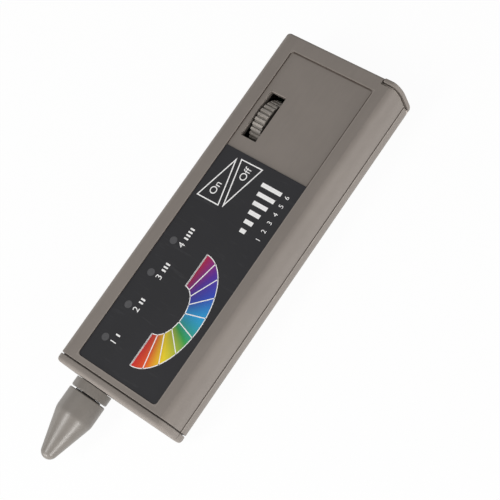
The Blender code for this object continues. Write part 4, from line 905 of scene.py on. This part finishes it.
class GeometryTree(Nodes):
    """A Geometry Nodes tree with named inputs, made node by node."""

    def __init__(self, name: str, inputs: dict[str, str]) -> None:
        """Makes an empty tree that gives back geometry.

        Args:
            name: The tree's name.
            inputs: The kinds of its inputs by name, such as Float, Int or Vector.
        """
        super().__init__(bpy.data.node_groups.new(name, "GeometryNodeTree"))
        sockets = self.tree.interface
        for socket, kind in {"Geometry": "Geometry", **inputs, "Material": "Material"}.items():
            sockets.new_socket(socket, in_out="INPUT", socket_type="NodeSocket" + kind)
        sockets.new_socket("Geometry", in_out="OUTPUT", socket_type="NodeSocketGeometry")
        self.given = self.outputs("NodeGroupInput")

    def made(self, kind: str, **values: object) -> Wire:
        """Adds a geometry node whose inputs have names of one word."""
        return self.node("GeometryNode" + kind, {}, values)

    def vector(self, *values: Wire | float) -> Wire:
        """Joins three numbers to a vector."""
        return self.node("ShaderNodeCombineXYZ", {}, dict(enumerate(values)))

    def vectors(self, operation: str, first: Wire, second: Wire | Place) -> Wire:
        """Adds a Vector Math node on two vectors and returns its vector."""
        return self.node("ShaderNodeVectorMath", {"operation": operation}, {0: first, 1: second})

    def line(self, **values: Wire) -> Wire:
        """Adds a row of points, with its inputs by name and underscores for spaces."""
        named = {name.replace("_", " "): value for name, value in values.items()}
        return self.node("GeometryNodeMeshLine", {"mode": "OFFSET"}, named)

    def ends(self, **values: Wire) -> bpy.types.NodeTree:
        """Sets an instance on every point, makes them real, dresses them and ends the tree.

        Args:
            values: The inputs of Instance on Points, by name.

        Returns:
            The finished tree.
        """
        real = self.made("RealizeInstances", Geometry=self.made("InstanceOnPoints", **values))
        dressed = self.made("SetMaterial", Geometry=real, Material=self.given["Material"])
        self.node("NodeGroupOutput", {}, {"Geometry": dressed})
        return self.tree


def small_shape(tree: GeometryTree, shape: Shape) -> Wire:
    """Makes the shape that a row repeats, about its own middle.

    Args:
        tree: The tree, which has the input Size.
        shape: Which shape.

    Returns:
        The shape's geometry.
    """
    if shape is Shape.BAR:
        return tree.made("MeshCube", Size=tree.given["Size"])
    width, _, height = tree.split(tree.given["Size"])
    half = width * 0.5
    if shape is Shape.DISC:
        return tree.made("MeshCylinder", Vertices=DISC_SIDES, Radius=half, Depth=height)
    ball = tree.made("MeshUVSphere", Segments=DOME_SEGMENTS, Rings=DOME_RINGS, Radius=half)
    return tree.made("Transform", Geometry=ball, Scale=tree.vector(1.0, 1.0, height / width))


def row_tree(shape: Shape) -> bpy.types.NodeTree:
    """Builds a tree that sets one shape along a straight row.

    Args:
        shape: The shape that repeats.

    Returns:
        The tree, with the inputs Count, Start, Step, Size, Growth and Material.
    """
    vectors = dict.fromkeys(("Start", "Step", "Size", "Growth"), "Vector")
    tree = GeometryTree("row_of_" + shape.value, {"Count": "Int", **vectors})
    given = tree.given
    points = tree.line(Count=given["Count"], Start_Location=given["Start"], Offset=given["Step"])
    growth = tree.vectors("MULTIPLY", given["Growth"], tree.made("InputIndex"))
    scale = tree.vectors("ADD", growth, (1.0, 1.0, 1.0))
    return tree.ends(Points=points, Instance=small_shape(tree, shape), Scale=scale)


def fan_tree() -> bpy.types.NodeTree:
    """Builds a tree that sets bars along the arc of an ellipse, each pointing outwards.

    A bar's length is given as a share of its distance from the ellipse's middle.

    Returns:
        The tree, with the inputs Count, Middle, Radii, Size, Start, Sweep and Material.
    """
    kinds = {**dict.fromkeys(("Middle", "Radii", "Size"), "Vector"), "Start": "Float", "Sweep": "Float"}
    tree = GeometryTree("fan_of_bars", {"Count": "Int", **kinds})
    given = tree.given
    turn = given["Start"] + tree.made("InputIndex") / (given["Count"] - 1.0) * given["Sweep"]
    arc = tree.vectors("MULTIPLY", tree.vector(turn.cosine(), turn.sine(), 0.0), given["Radii"])
    spots = tree.vectors("ADD", arc, given["Middle"])
    right, ahead, _ = tree.split(arc)
    reach = tree.node("ShaderNodeVectorMath", {"operation": "LENGTH"}, {0: arc}, "Value")
    return tree.ends(
        Points=tree.made("SetPosition", Geometry=tree.line(Count=given["Count"]), Position=spots),
        Instance=tree.made("MeshCube", Size=given["Size"]),
        Rotation=tree.vector(0.0, 0.0, ahead.angle(right)),
        Scale=tree.vector(reach, 1.0, 1.0),
    )


def placed(name: str, data: bpy.types.ID) -> bpy.types.Object:
    """Puts a new object into the scene.

    Args:
        name: The object's name.
        data: Its mesh, lamp, camera or text.

    Returns:
        The object.
    """
    made = bpy.data.objects.new(name, data)
    bpy.context.scene.collection.objects.link(made)
    return made


def plain_mesh(thing: bpy.types.Object) -> bpy.types.Mesh:
    """Makes a plain mesh of a text or of what an object's modifiers give.

    Args:
        thing: The object.

    Returns:
        The mesh.
    """
    bpy.context.view_layer.update()
    evaluated = thing.evaluated_get(bpy.context.evaluated_depsgraph_get())
    return bpy.data.meshes.new_from_object(evaluated)


def grown(name: str, tree: bpy.types.NodeTree, values: dict[str, object]) -> bpy.types.Object:
    """Runs a tree with these inputs and keeps its result as a plain mesh.

    Args:
        name: The piece's name.
        tree: The tree.
        values: Its inputs, by name.

    Returns:
        The piece, without a modifier.
    """
    seed = placed(name + "_seed", bpy.data.meshes.new(name + "_seed"))
    modifier = seed.modifiers.new("grown", "NODES")
    modifier.node_group = tree
    sockets = {item.name: item.identifier for item in tree.interface.items_tree if item.in_out == "INPUT"}
    for key, value in values.items():
        modifier[sockets[key]] = value
    mesh = plain_mesh(seed)
    seed.modifiers.remove(modifier)
    bpy.data.objects.remove(seed)
    mesh.name = name
    return placed(name, mesh)


def new_piece(name: str, mesh: bpy.types.Mesh, material: bpy.types.Material) -> bpy.types.Object:
    """Puts a mesh that is in place into the scene.

    Args:
        name: The piece's name.
        mesh: Its mesh.
        material: The one material on it.

    Returns:
        The piece.
    """
    mesh.materials.clear()
    mesh.materials.append(material)
    return placed(name, mesh)


def mesh_of(
    name: str, built: bmesh.types.BMesh, smooth: float | None = None, outward: bool = False
) -> bpy.types.Mesh:
    """Turns a bmesh into a mesh.

    Args:
        name: The mesh's name.
        built: The bmesh, which is freed.
        smooth: The widest angle in degrees between faces that shade as one, if any.
        outward: Whether its faces are turned to point outwards.

    Returns:
        The mesh.
    """
    if outward:
        bmesh.ops.recalc_face_normals(built, faces=built.faces)
    mesh = bpy.data.meshes.new(name)
    built.to_mesh(mesh)
    built.free()
    if smooth is not None:
        mesh.shade_smooth()
        mesh.set_sharp_from_angle(angle=math.radians(smooth))
    return mesh


def slab_mesh(name: str, rings: list[list[Point]], low: float, high: float) -> bpy.types.Mesh:
    """Makes a flat slab whose outline is the first ring and whose hole is the second.

    Args:
        name: The mesh's name.
        rings: One ring of points, or two with the same count.
        low: The underside's height.
        high: The top's height.

    Returns:
        The mesh.
    """
    built = bmesh.new()
    levels = [[[built.verts.new((x, y, z)) for x, y in ring] for ring in rings] for z in (low, high)]
    bands = list(zip(*levels)) + (levels if len(rings) == 2 else [])
    for first, second in bands:
        for side in zip(first, first[1:] + first[:1], second[1:] + second[:1], second):
            built.faces.new(side)
    if len(rings) == 1:
        for (ring,) in levels:
            built.faces.new(ring)
    return mesh_of(name, built, outward=True)


def inset_ring(points: list[Point], distance: float) -> list[Point]:
    """Moves each side of a closed outline inwards by a distance.

    Args:
        points: The outline's corners, anticlockwise.
        distance: How far in.

    Returns:
        The moved corners.
    """
    corners = [Vector(point) for point in points]
    moved = []
    for before, corner, after in zip(corners[-1:] + corners, corners, corners[1:] + corners[:1]):
        sides = [(corner - before).normalized(), (after - corner).normalized()]
        first, second = (Vector((-side.y, side.x)) for side in sides)
        half = (first + second).normalized()
        spot = corner + half * (distance / max(LEAST_COSINE, half.dot(first)))
        moved.append((spot.x, spot.y))
    return moved


def lettering(name: str, words: str, size: float, middle: Place, depth: float) -> bpy.types.Mesh:
    """Makes raised lettering that reads along +Y, with its tops towards -X.

    Args:
        name: The mesh's name.
        words: The characters.
        size: The height of a line of them.
        middle: The middle of the lettering's underside.
        depth: How far it stands up.

    Returns:
        The mesh.
    """
    curve = bpy.data.curves.new(name, "FONT")
    curve.body = words
    curve.size = size
    curve.align_x = "CENTER"
    curve.align_y = "CENTER"
    curve.extrude = depth / 2
    curve.resolution_u = LETTER_STEPS
    holder = placed(name + "_type", curve)
    mesh = plain_mesh(holder)
    bpy.data.objects.remove(holder)
    bpy.data.curves.remove(curve)
    x, y, z = middle
    mesh.transform(Matrix.Translation((x, y, z + depth / 2)) @ Matrix.Rotation(math.pi / 2, 4, "Z"))
    mesh.name = name
    return mesh


def joined(name: str, meshes: list[bpy.types.Mesh]) -> bpy.types.Mesh:
    """Joins several meshes into one.

    Args:
        name: The new mesh's name.
        meshes: The meshes.

    Returns:
        The new mesh.
    """
    built = bmesh.new()
    for mesh in meshes:
        built.from_mesh(mesh)
    return mesh_of(name, built)


class Dresser:
    """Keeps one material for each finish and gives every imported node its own."""

    def __init__(self) -> None:
        """Starts with no material made."""
        self.made: dict[str, bpy.types.Material] = {}
        self.rows: dict[Shape, bpy.types.NodeTree] = {}
        self.slots = {entry["node"]: entry["material_slot"] for entry in frame["record"]["subparts"]}

    def material(self, slot: str) -> bpy.types.Material:
        """Builds a slot's material when it is first asked for.

        Args:
            slot: The record's material slot.

        Returns:
            The material.
        """
        if slot not in self.made:
            self.made[slot] = FINISHES[slot].material()
        return self.made[slot]

    def dress_node(self, node: str) -> None:
        """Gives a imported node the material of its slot.

        Args:
            node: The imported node.
        """
        mesh = frame["nodes"][node].data
        mesh.materials.clear()
        mesh.materials.append(self.material(self.slots[node]))

    def shown(self, piece: bpy.types.Object, body: str, slot: str, *nodes: str) -> bpy.types.Object:
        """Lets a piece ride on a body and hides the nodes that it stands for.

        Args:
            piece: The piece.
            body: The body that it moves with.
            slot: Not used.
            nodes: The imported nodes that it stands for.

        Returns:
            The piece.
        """
        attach(piece, body)
        if nodes:
            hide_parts(*nodes)
        LOG.info("%s rides on %s", piece.name, body)
        return piece

    def row(self, name: str, shape: Shape, slot: str, material: bpy.types.Material, **inputs: object) -> None:
        """Sets a row of small shapes on the case.

        Args:
            name: The row's name.
            shape: The shape that repeats.
            slot: The record's material slot, which it passes to shown.
            material: Its material.
            inputs: The row's Count, Start, Step, Size and, if its shapes differ, Growth.
        """
        if shape not in self.rows:
            self.rows[shape] = row_tree(shape)
        self.shown(grown(name, self.rows[shape], {**inputs, "Material": material}), "case", slot)

    def smoothed(self, node: str, body: str, name: str, sharp: float = 28.0) -> bpy.types.Object:
        """Shows a welded copy of a node whose curved faces shade smoothly.

        Args:
            node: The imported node.
            body: The body that it rides on.
            name: The copy's name.
            sharp: The angle in degrees from which an edge stays crisp.

        Returns:
            The copy.
        """
        built = bmesh.new()
        built.from_mesh(frame["nodes"][node].data)
        bmesh.ops.remove_doubles(built, verts=built.verts, dist=WELD)
        bmesh.ops.dissolve_limit(
            built, angle_limit=FLAT, verts=built.verts, edges=built.edges, delimit={"NORMAL"}
        )
        piece = new_piece(name, mesh_of(name, built, sharp), self.material(self.slots[node]))
        weighted = piece.modifiers.new("weighted", "WEIGHTED_NORMAL")
        weighted.keep_sharp = True
        weighted.weight = NORMAL_WEIGHT
        final = plain_mesh(piece)
        piece.modifiers.remove(weighted)
        piece.data = final
        return self.shown(piece, body, self.slots[node], node)


@dataclass
class LightWindows:
    """Four smoked windows, flush in the label over the lights."""

    dresser: Dresser
    count: int = 4
    x: float = -12.35 * MM
    y: float = -39.05 * MM
    pitch: float = 12.93 * MM
    across: float = 2.7 * MM
    thickness: float = 0.5 * MM
    top: float = 22.925 * MM
    finish: Lens = Lens("window_smoked", srgb(52, 52, 55), 0.4)

    def build(self) -> None:
        """Makes the windows in one row."""
        self.dresser.row(
            "light_windows",
            Shape.DISC,
            "led_lens",
            self.finish.material(),
            Count=self.count,
            Start=(self.x, self.y, self.top - self.thickness / 2),
            Step=(0.0, self.pitch, 0.0),
            Size=(self.across, self.across, self.thickness),
        )


@dataclass(frozen=True)
class Sign:
    """A word in a triangle, with its places in millimetres."""

    name: str
    word: str
    corners: tuple[Point, ...]
    middle: Point


@dataclass
class FacePrint:
    """The print on the face label: numbered lights, two switch signs, a scale and a gauge."""

    dresser: Dresser
    windows: LightWindows
    level: float = 22.9 * MM
    ink: float = 0.03 * MM
    line: float = 0.42 * MM
    number_gap: float = 3.6 * MM
    number_size: float = 3.4 * MM
    bar: Point = (1.7 * MM, 0.6 * MM)
    bar_gap: float = 2.6 * MM
    bar_step: float = 1.25 * MM
    signs: tuple[Sign, ...] = (
        Sign("sign_on", "On", ((-10.6, 34.75), (-15.43, 17.07), (-6.0, 17.25)), (-10.82, 22.1)),
        Sign("sign_off", "Off", ((-9.1, 35.05), (-4.53, 17.37), (0.2, 35.25)), (-4.4, 30.9)),
    )
    sign_size: float = 3.8 * MM
    gauge_middle: Point = (1.2 * MM, -20.5 * MM)
    gauge_radii: Point = (13.2 * MM, 22.0 * MM)
    gauge_hole: float = 0.42
    gauge_steps: int = 64
    gauge_line: float = 0.7
    gauge_relief: float = 1.6
    divider: float = 0.34 * MM
    sectors: int = 9
    scale_start: Point = (10.8 * MM, 14.0 * MM)
    scale_step: float = 3.35 * MM
    scale_count: int = 6
    scale_bar: Point = (2.2 * MM, 1.5 * MM)
    scale_growth: float = 0.55
    scale_rise: float = 3.9 * MM
    scale_drop: float = 2.6 * MM
    scale_size: float = 2.5 * MM
    spectrum: Stops = (
        (0.0, srgb(196, 30, 38)),
        (0.12, srgb(226, 84, 32)),
        (0.25, srgb(238, 212, 40)),
        (0.40, srgb(48, 156, 74)),
        (0.55, srgb(42, 158, 214)),
        (0.68, srgb(48, 72, 178)),
        (0.82, srgb(84, 40, 150)),
        (1.0, srgb(166, 26, 52)),
    )

    def printed(self, name: str, mesh: bpy.types.Mesh, ink: bpy.types.Material | None = None) -> None:
        """Shows a print on the label, in white if no other ink is given."""
        piece = new_piece(name, mesh, ink or self.dresser.material("white_ink"))
        self.dresser.shown(piece, "case", "label_film")

    def slab(self, name: str, rings: list[list[Point]], relief: float = 1.0) -> bpy.types.Mesh:
        """Makes a print's form, whose relief is given in layers of ink."""
        return slab_mesh(name, rings, self.level, self.level + self.ink * relief)

    def bars(
        self, name: str, count: int, start: Point, step: float, size: Point, growth: float = 0.0
    ) -> None:
        """Prints a row of bars along the label.

        Args:
            name: The row's name.
            count: How many bars it has.
            start: The middle of the first.
            step: How far it is to the next.
            size: How far the first reaches across and along.
            growth: How much further each reaches across than the one before, as a share of the first.
        """
        self.dresser.row(
            name,
            Shape.BAR,
            "label_film",
            self.dresser.material("white_ink"),
            Count=count,
            Start=(*start, self.level + self.ink / 2),
            Step=(0.0, step, 0.0),
            Size=(*size, self.ink),
            Growth=(growth, 0.0, 0.0),
        )

    def print_signs(self) -> None:
        """Prints the two switch signs in their triangles."""
        for sign in self.signs:
            ring = [(x * MM, y * MM) for x, y in sign.corners]
            area = sum(a[0] * b[1] - b[0] * a[1] for a, b in zip(ring[-1:] + ring, ring))
            ring = ring if area > 0 else ring[::-1]
            outline = self.slab(sign.name + "_line", [ring, inset_ring(ring, self.line)])
            spot = (sign.middle[0] * MM, sign.middle[1] * MM, self.level)
            letters = lettering(sign.name + "_letters", sign.word, self.sign_size, spot, self.ink)
            self.printed(sign.name, joined(sign.name, [outline, letters]))

    def print_numbers(self) -> None:
        """Prints the lights' numbers and as many short bars beside each."""
        x = self.windows.x + self.number_gap
        for count in range(1, self.windows.count + 1):
            y = self.windows.y + (count - 1) * self.windows.pitch
            name = f"light_number_{count}"
            self.printed(name, lettering(name, str(count), self.number_size, (x, y, self.level), self.ink))
            self.bars(f"light_bars_{count}", count, (x, y + self.bar_gap), self.bar_step, self.bar)

    def print_scale(self) -> None:
        """Prints a rising row of bars with plain numbers under it."""
        x, y = self.scale_start
        start = (x - self.scale_rise, y)
        self.bars("scale_bars", self.scale_count, start, self.scale_step, self.scale_bar, self.scale_growth)
        meshes = []
        for place in range(self.scale_count):
            spot = (x + self.scale_drop, y + place * self.scale_step, self.level)
            name = f"scale_number_{place}"
            meshes.append(lettering(name, str(place + 1), self.scale_size, spot, self.ink))
        self.printed("scale_numbers", joined("scale_numbers", meshes))

    def arc(self, share: float) -> list[Point]:
        """Works out points along the gauge's arc.

        Args:
            share: How far out they lie, as a share of the gauge's radii.

        Returns:
            The points.
        """
        turns = [-math.pi / 2 + math.pi * place / self.gauge_steps for place in range(self.gauge_steps + 1)]
        (x, y), (width, length) = self.gauge_middle, self.gauge_radii
        return [(x + math.cos(turn) * width * share, y + math.sin(turn) * length * share) for turn in turns]

    def print_gauge(self) -> None:
        """Prints the half-round gauge with its colours, its outline and its dividers."""
        ring = self.arc(1.0) + self.arc(self.gauge_hole)[::-1]
        ink = SpectrumInk("ink_spectrum", 0.45, self.gauge_middle, self.gauge_radii, self.spectrum)
        self.printed("gauge_colours", self.slab("gauge_colours", [ring]), ink.material())
        rings = [ring, inset_ring(ring, self.line * self.gauge_line)]
        self.printed("gauge_line", self.slab("gauge_line", rings, self.gauge_relief))
        share = (1 + self.gauge_hole) / 2
        relief = self.ink * self.gauge_relief
        values = {
            "Count": self.sectors + 1,
            "Middle": (*self.gauge_middle, self.level + relief / 2),
            "Radii": (self.gauge_radii[0] * share, self.gauge_radii[1] * share, 0.0),
            "Start": -math.pi / 2,
            "Sweep": math.pi,
            "Size": ((1 - self.gauge_hole) / share, self.divider, relief),
            "Material": self.dresser.material("white_ink"),
        }
        self.dresser.shown(grown("gauge_dividers", fan_tree(), values), "case", "label_film")

    def build(self) -> None:
        """Prints everything on the label."""
        self.print_signs()
        self.print_numbers()
        self.print_scale()
        self.print_gauge()


@dataclass
class Works:
    """The small repeated metalwork on the circuit board, and the foam behind the battery."""

    dresser: Dresser
    chips: tuple[str, ...] = ("controller_chip", "amplifier_chip")
    leg: Place = (0.9 * MM, 0.4 * MM, 0.35 * MM)
    leg_pitch: float = 1.27 * MM
    leg_end_share: float = 0.6
    leg_out_share: float = 0.35
    leg_up_share: float = 0.6
    lights: int = 4
    light_pitch: float = 2.54 * MM
    solder: Place = (1.5 * MM, 1.5 * MM, 0.8 * MM)
    solder_sunk: float = 0.05 * MM
    foam_edge: float = 0.6 * MM
    foam_crown: float = 0.07
    foam_cuts: int = 9
    foam_sharp: float = 60.0

    def build_legs(self) -> None:
        """Sets rows of legs along both long sides of each chip."""
        for chip in self.chips:
            low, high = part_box(chip)
            count = int((high.y - low.y - self.leg_pitch * self.leg_end_share) / self.leg_pitch) + 1
            start = (low.y + high.y) / 2 - (count - 1) * self.leg_pitch / 2
            out = self.leg[0] * self.leg_out_share
            for side, x in ((1, low.x - out), (2, high.x + out)):
                self.dresser.row(
                    f"{chip}_legs_{side}",
                    Shape.BAR,
                    "steel",
                    self.dresser.material("steel"),
                    Count=count,
                    Start=(x, start, low.z + self.leg[2] * self.leg_up_share),
                    Step=(0.0, self.leg_pitch, 0.0),
                    Size=self.leg,
                )

    def build_solder(self) -> None:
        """Sets solder domes under the board below the lights."""
        low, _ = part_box("main_board")
        for light in range(1, self.lights + 1):
            middle = middle_of(f"led_{light}")
            self.dresser.row(
                f"solder_{light}",
                Shape.DOME,
                "steel",
                self.dresser.material("steel"),
                Count=2,
                Start=(middle.x - self.light_pitch / 2, middle.y, low.z - self.solder_sunk),
                Step=(self.light_pitch, 0.0, 0.0),
                Size=self.solder,
            )

    def build_foam(self) -> None:
        """Makes the foam pad with rounded edges and slightly crowned faces."""
        low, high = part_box("battery_pad")
        size = high - low
        half = size / 2
        built = bmesh.new()
        bmesh.ops.create_cube(built, size=1.0)
        bmesh.ops.subdivide_edges(built, edges=built.edges, cuts=self.foam_cuts, use_grid_fill=True)
        edge = self.foam_edge
        for vertex in built.verts:
            spot = Vector([share * length for share, length in zip(vertex.co, size)])
            inner = Vector([max(-(h - edge), min(h - edge, c)) for c, h in zip(spot, half)])
            away = spot - inner
            if away.length > 0:
                spot = inner + away.normalized() * min(edge, away.length)
            crown = 1 - 0.5 * ((spot.x / half.x) ** 2 + (spot.z / half.z) ** 2)
            spot.y *= 1 - self.foam_crown + self.foam_crown * crown
            vertex.co = (low + high) / 2 + spot
        mesh = mesh_of("battery_foam", built, self.foam_sharp, outward=True)
        piece = new_piece("battery_foam", mesh, self.dresser.material("foam"))
        self.dresser.shown(piece, "door", "foam", "battery_pad")

    def build(self) -> None:
        """Adds the legs, the solder and the foam."""
        self.build_legs()
        self.build_solder()
        self.build_foam()


@dataclass
class ProbeSpring:
    """The coil behind the probe's tip, which shortens as the tip is pressed."""

    dresser: Dresser
    joint: str = "tip_press"
    travel: float = 1.5 * MM
    sharp: float = 60.0

    def build(self) -> None:
        """Shows the coil as a smoothly shaded copy with a mesh of its own."""
        coil = self.dresser.smoothed("probe_spring", "case", "probe_spring_coil", self.sharp)
        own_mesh(coil)


@dataclass(frozen=True)
class Lamp:
    """A soft lamp, slightly warm, that points at the middle of the object."""

    name: str
    place: Place
    size: Point
    power: float
    tint: Colour = (1.0, 0.982, 0.968)
    target: Place = (0.0, 0.0, 0.01)

    def hang(self) -> None:
        """Hangs the lamp in its place."""
        data = bpy.data.lights.new(self.name, "AREA")
        data.shape = "RECTANGLE"
        data.size, data.size_y = self.size
        data.energy = self.power
        data.color = self.tint
        aim = (Vector(self.target) - Vector(self.place)).to_track_quat("-Z", "Y")
        placed(self.name, data).matrix_world = Matrix.LocRotScale(Vector(self.place), aim, None)


@dataclass
class Studio:
    """A pale floor, soft lamps and the camera."""

    lens: float = 100.759
    sensor: float = 36.0
    near: float = 10 * MM
    place: Place = (0.217961, -0.060771, 0.419838)
    turn: tuple[Place, ...] = (
        (0.770535, -0.448324, 0.453081),
        (0.563699, 0.811101, -0.156073),
        (-0.297523, 0.375661, 0.877701),
    )
    lamps: tuple[Lamp, ...] = (
        Lamp("overhead_lamp", (-0.128, -0.538, 0.768), (0.25, 0.5), 4.4),
        Lamp("front_lamp", (0.735, -0.56, 0.18), (0.22, 0.34), 3.5),
        Lamp("side_lamp", (0.86, 0.46, 0.07), (0.7, 0.13), 4.1),
        Lamp("left_lamp", (-0.88, -0.1, 0.2), (0.9, 0.38), 1.0),
        Lamp("low_front_lamp", (-0.1, -0.95, 0.13), (0.6, 0.24), 4.8),
    )
    floor_size: float = 3.0
    floor_gap: float = 0.2 * MM
    floor_tone: float = 0.92
    floor_grain: float = 0.3
    world: float = 0.28
    paper: Point = (0.62, 0.96)

    def camera(self) -> None:
        """Sets the camera at the photograph's view."""
        data = bpy.data.cameras.new("camera")
        data.lens = self.lens
        data.sensor_width = self.sensor
        data.sensor_fit = "HORIZONTAL"
        data.clip_start = self.near
        holder = placed("camera", data)
        turn = Matrix(self.turn).to_quaternion().to_matrix()
        holder.matrix_world = Matrix.LocRotScale(Vector(self.place), turn, None)
        bpy.context.scene.camera = holder

    def floor(self) -> None:
        """Lays the floor, which the camera and reflections see as nearly white."""
        half = self.floor_size / 2
        built = bmesh.new()
        corners = ((-half, -half), (half, -half), (half, half), (-half, half))
        built.faces.new([built.verts.new((*corner, -self.floor_gap)) for corner in corners])
        graph = Graph(bpy.data.materials.new("floor_white"))
        rough = 0.9 + (graph.noise(self.floor_grain, 2) - 0.5) * 0.05
        looks = {"Base Color": (self.floor_tone,) * 3, "Roughness": rough}
        matte = graph.node("ShaderNodeBsdfPrincipled", {}, looks)
        glow = graph.node("ShaderNodeEmission", {}, {"Color": (1.0, 1.0, 1.0), "Strength": 1.0})
        white = self.seen(graph).steps(0.0, 1.0, self.paper)
        mixed = graph.node("ShaderNodeMixShader", {}, {0: white, 1: matte, 2: glow})
        floor = new_piece("floor", mesh_of("floor", built, outward=True), graph.shown(mixed))

    def seen(self, graph: Graph) -> Wire:
        """Tells the rays that come from the camera, off gloss or through glass.

        Args:
            graph: The nodes of a material or a world.

        Returns:
            1 for those rays and 0 for others.
        """
        rays = graph.outputs("ShaderNodeLightPath")
        camera, gloss, glass = (rays[f"Is {kind} Ray"] for kind in ("Camera", "Glossy", "Transmission"))
        return camera.larger(gloss).larger(glass)

    def surroundings(self) -> None:
        """Lights the scene from all round and shows white behind it."""
        world = bpy.data.worlds.new("surroundings")
        bpy.context.scene.world = world
        graph = Graph(world)
        soft, white = (
            graph.node("ShaderNodeBackground", {}, {"Color": (1.0, 1.0, 1.0), "Strength": strength})
            for strength in (self.world, 1.0)
        )
        graph.shown(graph.node("ShaderNodeMixShader", {}, {0: self.seen(graph), 1: soft, 2: white}), "World")

    def build(self) -> None:
        """Sets up the camera, the lamps, the floor and the surroundings."""
        self.camera()
        for lamp in self.lamps:
            lamp.hang()
        self.floor()
        self.surroundings()
        bpy.context.scene.view_settings.view_transform = "Standard"


def main() -> None:
    logging.basicConfig(level=logging.INFO, format="%(name)s: %(message)s")
    Studio().build()
    dresser = Dresser()
    for node in frame["nodes"]:
        dresser.dress_node(node)
    for node, body in (
        ("top_shell", "case"),
        ("bottom_shell", "case"),
        ("battery_door", "door"),
        ("probe_cap", "cap"),
        ("probe_collar", "case"),
        ("probe_sleeve", "case"),
        ("probe_tip", "tip"),
        ("thumbwheel", "wheel"),
    ):
        dresser.smoothed(node, body, node + "_surface")
    windows = LightWindows(dresser)
    FacePrint(dresser, windows).build()
    windows.build()
    Works(dresser).build()
    ProbeSpring(dresser).build()


if __name__ == "__main__":
    main()
